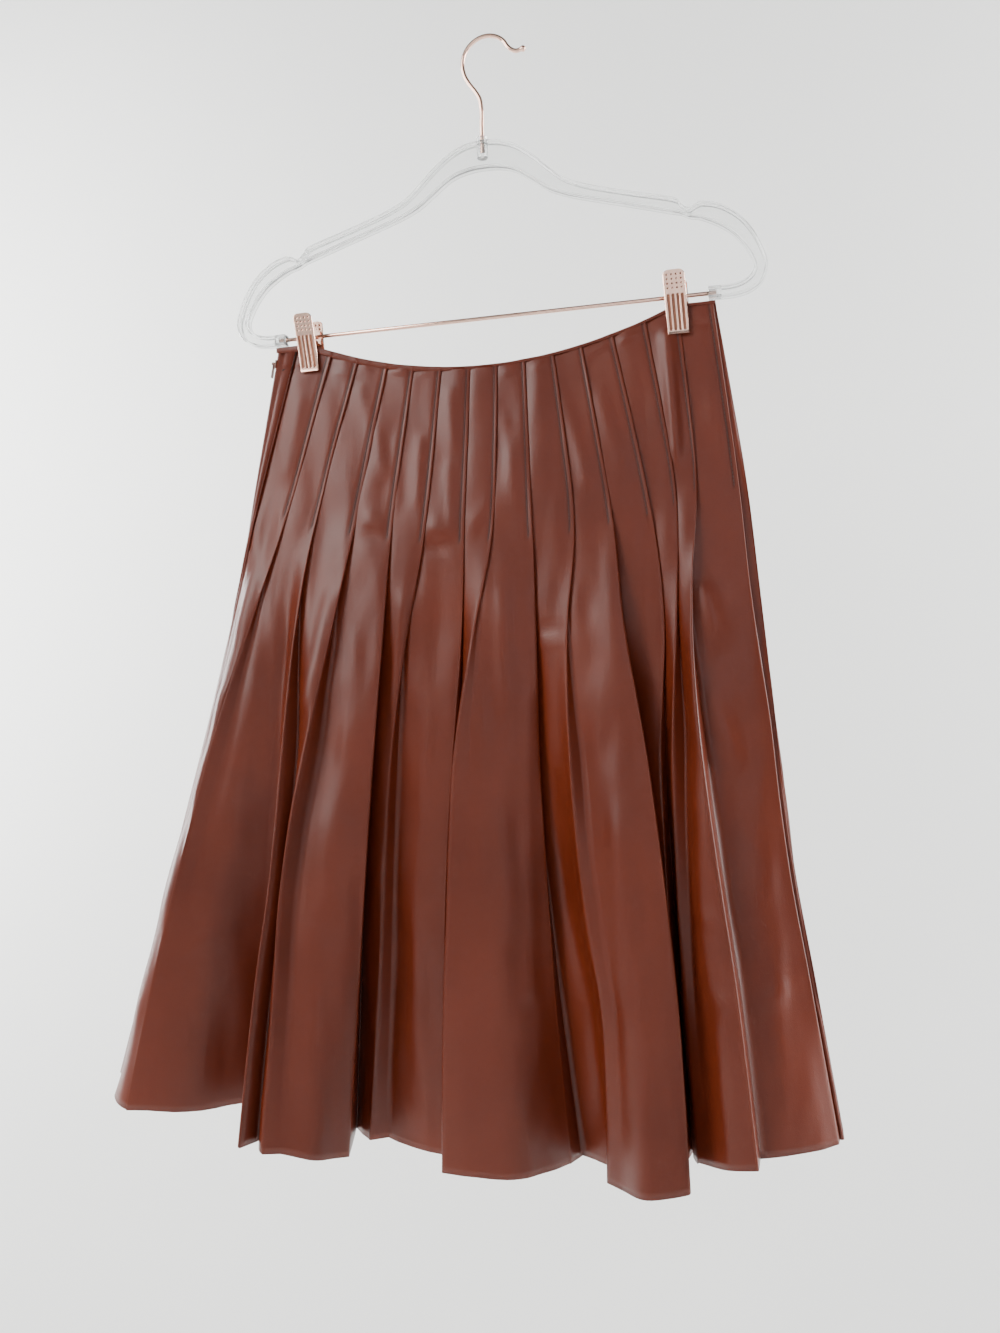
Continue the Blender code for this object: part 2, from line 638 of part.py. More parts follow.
def plate_rings(side):
    """The rings of a clip's plate, from its rounded top to its lip."""
    top, corner = PLATE_LINE[:2]
    middle = CLIP_HALF_WIDTH - CLIP_CORNER
    outline = []
    for i in range(CORNER_STEPS):
        angle = between(0, pi / 2, i / CORNER_STEPS)
        up = corner.up + CLIP_CORNER * cos(angle)
        out = between(corner.out, top.out, cos(angle))
        outline.append((middle + CLIP_CORNER * sin(angle), out, up))
    outline += [(CLIP_HALF_WIDTH, point.out, point.up) for point in PLATE_LINE[1:]]
    rings = []
    for half, out, up in outline:
        near = OUTWARDS[side] * (out - CLIP_PLATE / 2)
        far = OUTWARDS[side] * (out + CLIP_PLATE / 2)
        corners = ((-half, near), (half, near), (half, far), (-half, far))
        rings.append([Vector((x, y, up)) for x, y in corners])
    return rings


def add_clip(name, clip):
    at = (clip.bar_x, 0, BAR_Z)
    hole = BAR_RADIUS + FIT
    for side in ("front", "back"):
        plate = slanted(ring_solid(plate_rings(side)), clip)
        jaw = add_mesh(f"clip_{name}_{side}", plate, "rose_gold", at)
        for face in (-EAR_OUTER_X[side], EAR_OUTER_X[side] - EAR_THICKNESS):
            ear = [
                [Vector((x, OUTWARDS[side] * point.out, point.up)) for point in EAR_OUTLINE]
                for x in (face, face + EAR_THICKNESS)
            ]
            combine(jaw, "UNION", slanted(ring_solid(ear), clip))
        combine(jaw, "DIFFERENCE", cylinder(hole, "X", -CLIP_HALF_WIDTH * 2, CLIP_HALF_WIDTH * 2))
    sleeve = cylinder(SPRING_RADIUS, "X", -SPRING_HALF_LENGTH, SPRING_HALF_LENGTH)
    spring = add_mesh(f"clip_{name}_spring", sleeve, "rose_gold", at)
    past = SPRING_HALF_LENGTH + CUT_PAST
    combine(spring, "DIFFERENCE", cylinder(hole, "X", -past, past))


def main():
    for obj in list(bpy.data.objects):
        bpy.data.objects.remove(obj)
    add_skirt()
    add_zip()
    add_hanger_body()
    add_hook()
    bar = cylinder(BAR_RADIUS, "X", -BAR_END_X, BAR_END_X, (0, 0, BAR_Z), 16)
    add_mesh("hanger_bar", bar, "rose_gold")
    for name, clip in CLIPS.items():
        add_clip(name, clip)


main()
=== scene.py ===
"""The looks of a knife-pleated faux leather midi skirt that hangs from a clear clip hanger.

Metres, +Z up, the front towards -Y, the origin at the seat inside the hanger's hook. Tables and
lengths of the skirt and the hanger are in millimetres, and MM turns them into metres where a mesh
is made. The skirt's surface follows the middle of its solids' walls, but its sewn folds are
flatter, its hem is more even and lower at the left end, and its last front crease is nearer the seam.
"""

from collections import namedtuple
from math import asin, cos, hypot, pi, radians, sin, tau

import bmesh
import bpy
import numpy as np
from mathutils import Matrix, Vector, noise


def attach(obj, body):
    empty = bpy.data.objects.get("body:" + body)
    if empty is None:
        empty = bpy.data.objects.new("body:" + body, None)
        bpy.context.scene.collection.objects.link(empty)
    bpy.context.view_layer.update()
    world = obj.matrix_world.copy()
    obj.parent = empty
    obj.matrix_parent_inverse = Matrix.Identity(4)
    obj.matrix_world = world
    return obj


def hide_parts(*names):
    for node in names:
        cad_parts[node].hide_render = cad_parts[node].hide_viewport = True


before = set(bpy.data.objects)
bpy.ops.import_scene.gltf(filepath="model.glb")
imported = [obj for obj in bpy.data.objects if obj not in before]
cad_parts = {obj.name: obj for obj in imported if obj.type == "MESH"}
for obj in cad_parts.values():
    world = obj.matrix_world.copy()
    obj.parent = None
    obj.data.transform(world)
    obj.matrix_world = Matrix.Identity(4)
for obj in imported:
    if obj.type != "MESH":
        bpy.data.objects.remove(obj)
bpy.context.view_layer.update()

MM = 0.001

# ---- The camera, the lights and the stage.

FRAME_HEIGHT = 1333  # pixels
FOCAL_PIXELS = 1050
SENSOR = 36.0
CAMERA_AT = Vector((0.2286, -0.8332, -0.5158))
CAMERA_YAW = radians(15)  # it stands to the right of the skirt and looks a little left
CAMERA_ROLL = radians(1.256)
FLOOR_Z = -1.45
WALL_Y = 2.3
STAGE_HALF_WIDTH = 7.0
FRONT_WALL_Y = -6.5
CEILING_Z = 4.5
COVE_RADIUS = 1.6
COVE_STEPS = 24
ROOM_COLOUR = (0.84, 0.87, 0.90, 1)
ROOM_STRENGTH = 0.16


def linked(name, data):
    """A new object in the scene, at the origin."""
    made = bpy.data.objects.new(name, data)
    bpy.context.scene.collection.objects.link(made)
    return made


def set_camera():
    data = bpy.data.cameras.new("photo_camera")
    data.lens = FOCAL_PIXELS / FRAME_HEIGHT * SENSOR
    data.sensor_width = SENSOR
    camera = linked("photo_camera", data)
    forward = Vector((-sin(CAMERA_YAW), cos(CAMERA_YAW), 0))
    right = Vector((cos(CAMERA_YAW), sin(CAMERA_YAW), 0))
    up = right.cross(forward)
    across = cos(CAMERA_ROLL) * right - sin(CAMERA_ROLL) * up
    upward = sin(CAMERA_ROLL) * right + cos(CAMERA_ROLL) * up
    turn = Matrix((across, upward, -forward)).transposed()
    camera.matrix_world = Matrix.Translation(CAMERA_AT) @ turn.to_4x4()
    bpy.context.scene.camera = camera


Lamp = namedtuple("Lamp", "name at towards width height watts colour")
SKIRT_MIDDLE = (-0.03, 0.0, -0.55)
LAMPS = (
    Lamp("window", (-2.2, -2.1, 1.0), SKIRT_MIDDLE, 1.2, 2.0, 100, (1.0, 0.985, 0.965)),
    Lamp("room", (0.9, -2.9, 0.2), SKIRT_MIDDLE, 2.2, 1.6, 13, (0.90, 0.93, 1.0)),
    Lamp("wash_left", (-3.4, 0.7, 0.4), (0.4, 2.3, -0.5), 1.0, 2.6, 250, (1.0, 1.0, 1.0)),
    Lamp("wash_right", (3.4, 0.7, 0.4), (-0.4, 2.3, -0.5), 1.0, 2.6, 268, (1.0, 1.0, 1.0)),
    Lamp("wash_front", (0.0, -3.4, 3.0), (0.0, -6.5, -0.5), 3.5, 1.0, 55, (0.90, 0.94, 1.0)),
)


def set_lights():
    for lamp in LAMPS:
        data = bpy.data.lights.new(lamp.name, "AREA")
        data.shape = "RECTANGLE"
        data.size = lamp.width
        data.size_y = lamp.height
        data.energy = lamp.watts
        data.color = lamp.colour
        light = linked(lamp.name, data)
        light.location = lamp.at
        aim = Vector(lamp.towards) - Vector(lamp.at)
        light.rotation_euler = aim.to_track_quat("-Z", "Y").to_euler()
    world = bpy.data.worlds.new("room")
    world.use_nodes = True
    background = world.node_tree.nodes["Background"]
    background.inputs["Color"].default_value = ROOM_COLOUR
    background.inputs["Strength"].default_value = ROOM_STRENGTH
    bpy.context.scene.world = world


def cove(wall_y):
    """The stage's profile from the top of a wall down to the floor, as (y, z) points."""
    side = 1 if wall_y > 0 else -1
    profile = [(wall_y, CEILING_Z)]
    for i in range(COVE_STEPS + 1):
        turn = pi / 2 * i / COVE_STEPS
        y = wall_y - side * COVE_RADIUS * (1 - cos(turn))
        profile.append((y, FLOOR_Z + COVE_RADIUS * (1 - sin(turn))))
    return profile


def add_stage():
    """A floor that curves up into a wall behind the skirt and into another behind the camera."""
    profile = cove(FRONT_WALL_Y) + cove(WALL_Y)[::-1]
    bm = bmesh.new()
    ends = (-STAGE_HALF_WIDTH, STAGE_HALF_WIDTH)
    left, right = [[bm.verts.new((x, y, z)) for y, z in profile] for x in ends]
    for i in range(len(profile) - 1):
        bm.faces.new((left[i], right[i], right[i + 1], left[i + 1]))
    stage = mesh_piece("stage", bm, stage_material())


# ---- Materials.


class Wire:
    """The value of a node's socket. Python's operators on it add Math nodes."""

    def __init__(self, shader, socket):
        self.shader = shader
        self.socket = socket

    def math(self, operation, *values):
        return self.shader.add("ShaderNodeMath", {"operation": operation}, dict(enumerate(values)))

    def __add__(self, other):
        return self.math("ADD", self, other)

    def __radd__(self, other):
        return self.math("ADD", other, self)

    def __rsub__(self, other):
        return self.math("SUBTRACT", other, self)

    def __mul__(self, other):
        return self.math("MULTIPLY", self, other)

    def __rmul__(self, other):
        return self.math("MULTIPLY", other, self)


class Shader:
    """One material's node tree around a Principled BSDF."""

    def __init__(self, name, **constants):
        self.material = bpy.data.materials.new(name)
        self.material.use_nodes = True
        self.tree = self.material.node_tree
        self.surface = self.tree.nodes["Principled BSDF"]
        for socket, value in constants.items():
            self.set(socket.replace("_", " "), value)

    def add(self, kind, settings, sockets, out=0):
        """A new node with its settings, such as a ramp's stops, and its sockets' values or links."""
        node = self.tree.nodes.new(kind)
        for key, value in settings.items():
            if key == "stops":
                self.set_stops(node.color_ramp, value)
            else:
                setattr(node, key, value)
        for key, value in sockets.items():
            self.connect(node.inputs[key], value)
        return Wire(self, node.outputs[out])

    def set_stops(self, ramp, stops):
        for element, (at, colour) in zip(ramp.elements, stops):
            element.position = at
            element.color = (*colour, 1.0)

    def connect(self, socket, value):
        """Links a Wire to the socket, or sets a constant on it, a colour as its three parts."""
        if isinstance(value, Wire):
            self.tree.links.new(value.socket, socket)
        else:
            socket.default_value = (*value, 1.0) if socket.type == "RGBA" else value

    def set(self, name, value):
        self.connect(self.surface.inputs[name], value)

    def place(self, stretch=(1, 1, 1)):
        """The point on the object, in metres, stretched along its axes."""
        at = self.add("ShaderNodeTexCoord", {}, {}, "Object")
        return self.add("ShaderNodeMapping", {}, {"Vector": at, "Scale": stretch})

    def attribute(self, name):
        """A value that the mesh holds at its points."""
        return self.add("ShaderNodeAttribute", {"attribute_name": name}, {}, "Fac")

    def noise(self, at, scale, detail=3.0, roughness=0.55):
        sockets = {"Vector": at, "Scale": scale, "Detail": detail, "Roughness": roughness}
        return self.add("ShaderNodeTexNoise", {}, sockets, "Fac")

    def cells(self, at, scale):
        """Distance from the edge of the nearest cell of a crackle pattern."""
        sockets = {"Vector": at, "Scale": scale}
        return self.add("ShaderNodeTexVoronoi", {"feature": "DISTANCE_TO_EDGE"}, sockets)

    def ramp(self, value, *stops):
        return self.add("ShaderNodeValToRGB", {"stops": stops}, {"Fac": value})

    def mix(self, share, first, second):
        """A colour between two others. The node has sockets of the same name for each kind of data."""
        node = self.tree.nodes.new("ShaderNodeMix")
        node.data_type = "RGBA"
        sockets = {socket.identifier: socket for socket in node.inputs}
        for key, value in (("Factor_Float", share), ("A_Color", first), ("B_Color", second)):
            self.connect(sockets[key], value)
        return Wire(self, next(s for s in node.outputs if s.identifier == "Result_Color"))

    def bump(self, height, strength, distance):
        sockets = {"Height": height, "Strength": strength, "Distance": distance}
        self.set("Normal", self.add("ShaderNodeBump", {}, sockets, "Normal"))


def leather_material():
    """Coated cloth: tan brown with a fine grain and cloudy gloss.

    It is rubbed lighter on the creases and darker in the pores. Shade is painted into its colour deep
    inside the folds, along the topstitching's groove and beside the side seams, where it is also matt.
    """
    shader = Shader("faux_leather")
    at = shader.place()
    pores = shader.cells(at, 1150.0)
    grain = shader.noise(at, 900.0, 2.0)
    clouds = shader.noise(at, 9.0, 3.0)
    drape = shader.noise(shader.place((1, 1, 0.28)), 34.0, 3.0)
    warm = shader.ramp(clouds, (0.30, (0.100, 0.0138, 0.0040)), (0.72, (0.132, 0.0195, 0.0058)))
    pore_share = shader.ramp(pores, (0.0, (1, 1, 1)), (0.16, (0, 0, 0)))
    stitch_groove_shade = shader.attribute("stitch_groove_shade")
    folded = shader.attribute("folded")
    colour = shader.mix(pore_share * 0.22, warm, (0.050, 0.0070, 0.0022))
    colour = shader.mix(folded * clouds * 0.5, colour, (0.240, 0.0560, 0.0250))
    # painted shade inside the deep folds, stronger where the fold is deeper
    colour = shader.mix(shader.attribute("fold_shade") * 0.7, colour, (0.024, 0.0034, 0.0012))
    # painted shade beside the side seams, which are also made matt and less shiny
    matt_and_shade = shader.attribute("matt_and_shade")
    colour = shader.mix(matt_and_shade * 0.35, colour, (0.050, 0.0075, 0.0030))
    # painted shade of the groove that the topstitching pulls into the cloth
    colour = shader.mix(stitch_groove_shade * 0.66, colour, (0.018, 0.0028, 0.0012))
    shader.set("Base Color", colour)
    shader.set("Roughness", 0.27 + 0.14 * clouds + 0.05 * grain + 0.2 * stitch_groove_shade + 0.2 * matt_and_shade)
    shader.set("Specular IOR Level", 0.34 - 0.22 * matt_and_shade)
    shader.bump(pores * 0.5 + grain * 0.35 + drape * 3.2, 0.26, 0.00055)
    return shader.material


def backing_material():
    """The cloth's cut edge and its knitted back."""
    shader = Shader("knitted_backing", Roughness=0.85, Specular_IOR_Level=0.2)
    knit = shader.noise(shader.place((1, 1, 0.5)), 1500.0, 2.0)
    shader.set("Base Color", shader.mix(knit, (0.018, 0.0060, 0.0038), (0.042, 0.0150, 0.0095)))
    shader.bump(knit, 0.4, 0.0003)
    return shader.material


def thread_material():
    shader = Shader("brown_thread", Roughness=0.55, Sheen_Weight=0.15, Sheen_Roughness=0.5)
    twist = shader.noise(shader.place(), 2600.0, 1.0)
    shader.set("Base Color", shader.mix(twist, (0.020, 0.0035, 0.0022), (0.060, 0.0115, 0.0065)))
    shader.bump(twist, 0.4, 0.00012)
    return shader.material


def rose_gold_material():
    """Plated steel: nearly a mirror, with a faint drawn grain and a little haze."""
    shader = Shader("rose_gold", Metallic=1.0)
    haze = shader.noise(shader.place(), 160.0, 3.0)
    drawn = shader.noise(shader.place((1, 1, 0.06)), 2400.0, 2.0)
    shader.set("Base Color", shader.mix(haze, (0.90, 0.60, 0.49), (0.82, 0.50, 0.385)))
    shader.set("Roughness", 0.13 + 0.10 * haze)
    shader.bump(drawn, 0.10, 0.00005)
    return shader.material


def recess_shade_material():
    """Plating in the pressed dots and slots: duller, and darker with painted shade."""
    shader = Shader("dull_rose_gold_painted_shade", Metallic=0.8)
    recess_mottle = shader.noise(shader.place(), 700.0, 3.0)
    shader.set("Base Color", shader.mix(recess_mottle, (0.34, 0.15, 0.095), (0.17, 0.065, 0.040)))
    shader.set("Roughness", 0.38 + 0.2 * recess_mottle)
    return shader.material


def clear_material():
    """Clear moulded plastic, with faint flow lines."""
    shader = Shader("clear_plastic", Transmission_Weight=0.93, IOR=1.45)
    flow = shader.noise(shader.place((1, 1, 3)), 46.0, 2.0)
    shader.set("Base Color", shader.mix(flow, (0.965, 0.975, 0.975), (0.985, 0.988, 0.985)))
    shader.set("Roughness", 0.035 + 0.05 * flow)
    shader.bump(flow, 0.10, 0.0006)
    return shader.material


def zip_paint_material():
    shader = Shader("zip_paint", Coat_Weight=0.3)
    chips = shader.noise(shader.place(), 1400.0, 2.0)
    shader.set("Base Color", shader.mix(chips, (0.120, 0.036, 0.019), (0.160, 0.052, 0.030)))
    shader.set("Roughness", 0.30 + 0.12 * chips)
    shader.bump(chips, 0.08, 0.0001)
    return shader.material


def stage_material():
    shader = Shader("pale_paint", Roughness=0.9, Specular_IOR_Level=0.2)
    mottle = shader.noise(shader.place(), 2.2, 2.0)
    shader.set("Base Color", shader.mix(mottle, (0.80, 0.805, 0.79), (0.83, 0.83, 0.815)))
    return shader.material


# ---- Meshes.


def mesh_piece(name, bm, material, sharp=None):
    """A smooth object at the origin from a bmesh in metres, with sharp edges above an angle."""
    mesh = bpy.data.meshes.new(name)
    bm.to_mesh(mesh)
    bm.free()
    mesh.materials.append(material)
    mesh.shade_smooth()
    if sharp is not None:
        mesh.set_sharp_from_angle(angle=radians(sharp))
    return linked(name, mesh)


def evaluated_mesh(piece):
    """The plain mesh of an object with its modifiers, or of a curve."""
    graph = bpy.context.evaluated_depsgraph_get()
    return bpy.data.meshes.new_from_object(piece.evaluated_get(graph))


def applied(piece):
    """Turns the piece's modifiers into its plain mesh."""
    mesh = evaluated_mesh(piece)
    piece.modifiers.clear()
    piece.data = mesh
    return piece


def turned_back(mesh):
    """Turns a mesh made as a front side to the back."""
    mesh.transform(Matrix.Rotation(pi, 4, "Z"))


def grid_mesh(bm, points, closed_across=False):
    """Quads over rows of points in millimetres, and the rows of their vertices."""
    made = [[bm.verts.new(Vector(point) * MM) for point in row] for row in points]
    across = len(made[0]) if closed_across else len(made[0]) - 1
    for low, high in zip(made, made[1:]):
        for i in range(across):
            j = (i + 1) % len(low)
            bm.faces.new((low[i], low[j], high[j], high[i]))
    return made


def lofted(name, rings, material, sharp):
    """A closed solid through rings of points in millimetres."""
    bm = bmesh.new()
    made = grid_mesh(bm, rings, closed_across=True)
    bm.faces.new(made[0])
    bm.faces.new(made[-1])
    bmesh.ops.recalc_face_normals(bm, faces=bm.faces)
    return mesh_piece(name, bm, material, sharp=sharp)


def tube(name, route, material, sides):
    """A round wire along a route of (point, radius) pairs, in millimetres."""
    curve = bpy.data.curves.new(name, "CURVE")
    curve.dimensions = "3D"
    curve.bevel_depth = MM
    curve.bevel_resolution = sides // 4
    curve.use_fill_caps = True
    line = curve.splines.new("POLY")
    line.points.add(len(route) - 1)
    for target, (at, radius) in zip(line.points, route):
        target.co = (*(at * MM), 1.0)
        target.radius = radius
    curve.materials.append(material)
    wire = linked(name, curve)
    mesh = evaluated_mesh(wire)
    bpy.data.objects.remove(wire)
    mesh.shade_smooth()
    mesh.set_sharp_from_angle(angle=radians(50))
    return linked(name, mesh)


def joined(name, pieces):
    """One object out of several."""
    first = pieces[0]
    bm = bmesh.new()
    for piece in pieces:
        bm.from_mesh(piece.data)
        if piece is not first:
            bpy.data.objects.remove(piece)
    first.name = name
    bm.to_mesh(first.data)
    bm.free()
    return first


def dress(piece, node):
    """Puts a piece of the skirt's body in the place of a solid."""
    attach(piece, "skirt")
    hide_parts(node)


# ---- The skirt's surface.

CUT_LENGTH = 648.0
CLOTH = 0.6  # thickness of the coated cloth
NOSE_WAIST = 0.6  # width of the fold at a crease
NOSE_HEM = 1.5
NOSE_ROUND = 0.25  # how far the fold stands out, as a share of its width
SEAM_TURN_WAIST = 2.4
SEAM_TURN_HEM = 7.0
WAIST_SIDE_Z = -238.0
WAIST_SAG = 32.0
WAIST_SAG_HALF_SPAN = 155.0
WAIST_DEPTH = 6.0
SEWN_DEPTH = 8.0
SEWN_HALF_SPAN = 200.0
UNDERLAY = 14.0
SEAM_CLEAR = 5.0
UNDERLAY_DEPTH = 2.4
DEEPEST_SEWN = -0.75
DEEPEST_FRONT_HEM = 8.0
DEEPEST_BACK_HEM = -36.0
OPENING = 0.7  # under 1, a sewn fold opens quickly below its stitches
SWELLING = 1.5  # above 1, a panel swells late on its way to the hem
SEWN_CLEAR = 1.25  # from a crease to the panel under it
CREASE_CLEAR = 2.4
LIFTING = 4  # a crease is CREASE_CLEAR from a quarter of the free length down
OVERLAP = 2.0  # how far a panel's middle lies past the crease that covers it
LEAST_MIDDLE, MOST_MIDDLE = 0.35, 0.68  # and where that may be between its valley and its crease
LEFT_DROP = 11.5  # how much lower the hem hangs at the left end
LEFT_DROP_FROM, LEFT_DROP_TO = 112.0, 132.0  # measured from the middle to the left

SEWN = 0.21
FREE_MIDDLE = 0.50
LEVELS = (0.0, SEWN, 0.35, FREE_MIDDLE, 0.66, 0.82, 1.0)
CONTROL_ROWS = (0.0, 0.10, 0.21, 0.24, 0.28, 0.32, 0.37, 0.43, 0.50, 0.60, 0.70, 0.80, 0.90, 1.0)

# A row for each crease, from left to right as seen from outside, in millimetres.
# waist ... hem: the crease's x at the seven LEVELS. out: how far it stands out at the hem.
# mid_along, mid_back, hem_along, hem_back: its valley from the crease, at FREE_MIDDLE and at the hem.
# bulge_a, bulge_b, bulge_c: how the panel after the valley swells outwards at the hem.
Pleat = namedtuple(
    "Pleat",
    "waist sewn upper middle lower low hem out"
    " mid_along mid_back hem_along hem_back bulge_a bulge_b bulge_c",
)
FRONT_PLEATS = (
    Pleat(-166, -207, -230, -256, -286, -316, -350, 15, 9, -5, 16, -17, 4, 8, 6),
    Pleat(-135, -177, -207, -238, -264, -287, -308, 69, 13, 6, 20, 1, -18, -48, -76),
    Pleat(-111, -151, -166, -173, -178, -188, -195, 86, 9, 13, 9, 18, 0, 0, 0),
    Pleat(-85, -115, -134, -154, -170, -174, -178, 80, 8, 14, 14, 5, 6, 9, 6),
    Pleat(-62, -82, -90, -98, -105, -111, -118, 48, -12, 21, -15, 54, 0, 0, 0),
    Pleat(-38, -53, -72, -88, -97, -105, -115, 10, 4, 9, 14, 9, 2, 4, 3),
    Pleat(-13, -19, -24, -34, -42, -46, -49, 12, 8, 11, 9, 20, 0, 0, 0),
    Pleat(10, 5, -13, -29, -34, -38, -39, 45, 15, 2, 19, -3, 12, 15, 9),
    Pleat(33, 38, 39, 39, 43, 48, 57, 6, -7, 14, 7, 16, -10, -17, -12),
    Pleat(57, 72, 65, 66, 75, 90, 92, 40, 9, 6, 13, -11, 9, 13, 9),
    Pleat(80, 102, 111, 127, 140, 150, 156, 63, -15, 28, -16, 69, 0, 0, 0),
    Pleat(105, 132, 141, 136, 138, 143, 150, 10, 4, 8, 5, 18, 0, 0, 0),
    Pleat(131, 152, 151, 146, 147, 152, 160, 32, 10, 8, 9, -8, 3, 5, 4),
    Pleat(156, 168, 163, 166, 178, 192, 204, 60, 4, 12, 2, 20, 2, 3, 2),
    Pleat(183, 199, 207, 219, 229, 245, 262, 6, -3, 6, 2, 10, 1, 1, 0),
)
BACK_PLEATS = (
    Pleat(-166, -187, -201, -216, -230, -244, -258, 42, 6, 4, 14, -8, 6, 10, 6),
    Pleat(-142, -160, -170, -174, -174, -171, -167, 62, -3, 14, -4, 30, 0, 0, 0),
    Pleat(-118, -133, -147, -158, -160, -156, -151, 84, 11, 3, 16, -2, 8, 11, 6),
    Pleat(-94, -106, -104, -98, -90, -80, -70, 74, -12, 18, -14, 44, 0, 0, 0),
    Pleat(-70, -79, -84, -84, -79, -72, -62, 40, 5, 9, 12, 6, 2, 3, 2),
    Pleat(-46, -52, -50, -46, -41, -34, -27, 38, 5, 9, 13, 20, 0, 0, 0),
    Pleat(-22, -25, -32, -34, -30, -24, -17, 78, 13, 2, 18, -4, 9, 13, 8),
    Pleat(2, 2, 8, 20, 34, 50, 66, 60, -6, 14, 6, 34, -6, -10, -6),
    Pleat(26, 29, 36, 50, 68, 84, 98, 86, 9, 5, 14, -6, 8, 12, 9),
    Pleat(50, 56, 70, 92, 118, 144, 168, 88, -12, 20, -15, 60, 0, 0, 0),
    Pleat(74, 83, 95, 109, 128, 146, 162, 46, 6, 7, 8, 12, 0, 0, 0),
    Pleat(98, 110, 112, 120, 136, 156, 177, 72, 9, 4, 14, -7, 7, 9, 6),
    Pleat(122, 138, 152, 170, 196, 224, 252, 70, -8, 16, -7, 36, -3, -5, -3),
    Pleat(146, 166, 180, 200, 226, 255, 283, 58, 6, 8, 12, 0, 4, 6, 4),
    Pleat(168, 192, 208, 232, 264, 300, 338, 26, 4, 6, 3, 8, 1, 1, 0),
)
Seam = namedtuple("Seam", "waist sewn upper middle lower low hem hem_y")
LEFT_SEAM = Seam(-186, -214, -232, -257, -285, -315, -346, 8)
RIGHT_SEAM = Seam(185, 205, 214, 223, 233, 249, 267, 12)

ROW_STEP = 6.0  # millimetres between the surface's rows
TOP_ROW_STEP = 2.0  # and near the waist
TOP_ROWS = 10
PANEL_STEPS = 18
CREASE_EASE = 1.6  # above 1, a panel's columns crowd towards its crease
UNDER_SHARE = 0.36  # of a panel, under the fold beside it where it is sewn
STITCH_COLUMN = 3  # columns from the crease to its topstitching
UNDERLAY_STEPS = 4
TURN_STEPS = 2

STITCH_PITCH = 3.1
STITCH_LENGTH = 2.3
STITCH_RADIUS = 0.33
STITCH_SIDES = 6
STITCH_PULL = 0.45  # how deep the thread pulls into the cloth
STITCH_LIFT = 0.2  # of its radius, from the cloth's face to its middle
STITCH_FIRST_LEVEL = 0.012
STITCH_LAST_LEVEL = 0.222


def between(start, end, s):
    return start + (end - start) * s


def smooth(row, t):
    """Reads a smooth curve through the first values of a row, given at LEVELS, at the level t."""
    last = len(LEVELS) - 1
    k = next((i for i in range(last - 1) if t < LEVELS[i + 1]), last - 1)

    def slope(i):
        low, high = max(i - 1, 0), min(i + 1, last)
        return (row[high] - row[low]) / (LEVELS[high] - LEVELS[low])

    width = LEVELS[k + 1] - LEVELS[k]
    s = (t - LEVELS[k]) / width
    start = (1 + 2 * s) * (1 - s) ** 2 * row[k] + s * (1 - s) ** 2 * width * slope(k)
    end = s * s * (3 - 2 * s) * row[k + 1] + s * s * (s - 1) * width * slope(k + 1)
    return start + end


def free_share(t):
    """0 down to the end of the sewing, 1 at the hem."""
    return max(t - SEWN, 0.0) / (1 - SEWN)


def waist_z(x):
    return WAIST_SIDE_Z - WAIST_SAG * max(0.0, 1 - (x / WAIST_SAG_HALF_SPAN) ** 2)


def fall(waist_x, hem_x, hem_out, t):
    """How far the level t hangs below the waist edge. What flares out hangs less low."""
    flare = hypot(hem_x - waist_x, hem_out - WAIST_DEPTH)
    return (CUT_LENGTH**2 - flare**2) ** 0.5 * t


def crease(pleat, t):
    """A point of a crease, its z below the waist edge."""
    sewn_out = WAIST_DEPTH + SEWN_DEPTH * max(0.0, 1 - (pleat.sewn / SEWN_HALF_SPAN) ** 2)
    out = between(WAIST_DEPTH, sewn_out, min(t / SEWN, 1.0))
    if t > SEWN:
        out = between(sewn_out, pleat.out, free_share(t))
    return Vector((smooth(pleat, t), -out, -fall(pleat.waist, pleat.hem, pleat.out, t)))


def valley(pleat, t, leftmost, deepest):
    """The valley behind a crease, never further left than leftmost or further in than deepest."""
    at = crease(pleat, t)
    if t <= FREE_MIDDLE:
        s = max(t - SEWN, 0.0) / (FREE_MIDDLE - SEWN)
        along = between(-UNDERLAY, pleat.mid_along, s**OPENING)
        back = between(UNDERLAY_DEPTH, pleat.mid_back, s)
    else:
        s = (t - FREE_MIDDLE) / (1 - FREE_MIDDLE)
        along = between(pleat.mid_along, pleat.hem_along, s)
        back = between(pleat.mid_back, pleat.hem_back, s)
    return Vector((max(at.x + along, leftmost), min(at.y + back, deepest), at.z))


def seam_points(seam, t):
    """Where the wall ends at a side seam, and where it turns into the panel beside it."""
    z = -fall(seam.waist, seam.hem, WAIST_DEPTH, t)
    at = Vector((smooth(seam, t), seam.hem_y * free_share(t), z))
    turn = between(SEAM_TURN_WAIST, SEAM_TURN_HEM, free_share(t))
    return at, at - Vector((0, turn, 0))


def outward(run):
    """The direction out of the cloth beside a run of the section."""
    return Vector((run.y, -run.x, 0)).normalized()


def panel_points(start, end, over, bulges, clear):
    """Three points of a panel between its valley and its crease. over is the crease that covers it."""
    middle = 0.5
    if over and start.x < over.x:
        covered = (over.x + OVERLAP - start.x) / max(end.x - start.x, 1.0)
        middle = min(max(covered, LEAST_MIDDLE), MOST_MIDDLE)
    points = []
    for s, bulge in zip((middle * 0.56, middle, between(middle, 1, 0.5)), bulges):
        at = start.lerp(end, s) + outward(end - start) * bulge
        if over and at.x < over.x + clear:
            at.y = max(at.y, over.y + clear)
        points.append(at)
    return points


def nose_points(before, at, after, t):
    """The two corners of the fold at a crease."""
    across = (at - before).to_2d().normalized() + (after - at).to_2d().normalized()
    return at, at + across.normalized().to_3d() * between(NOSE_WAIST, NOSE_HEM, free_share(t))


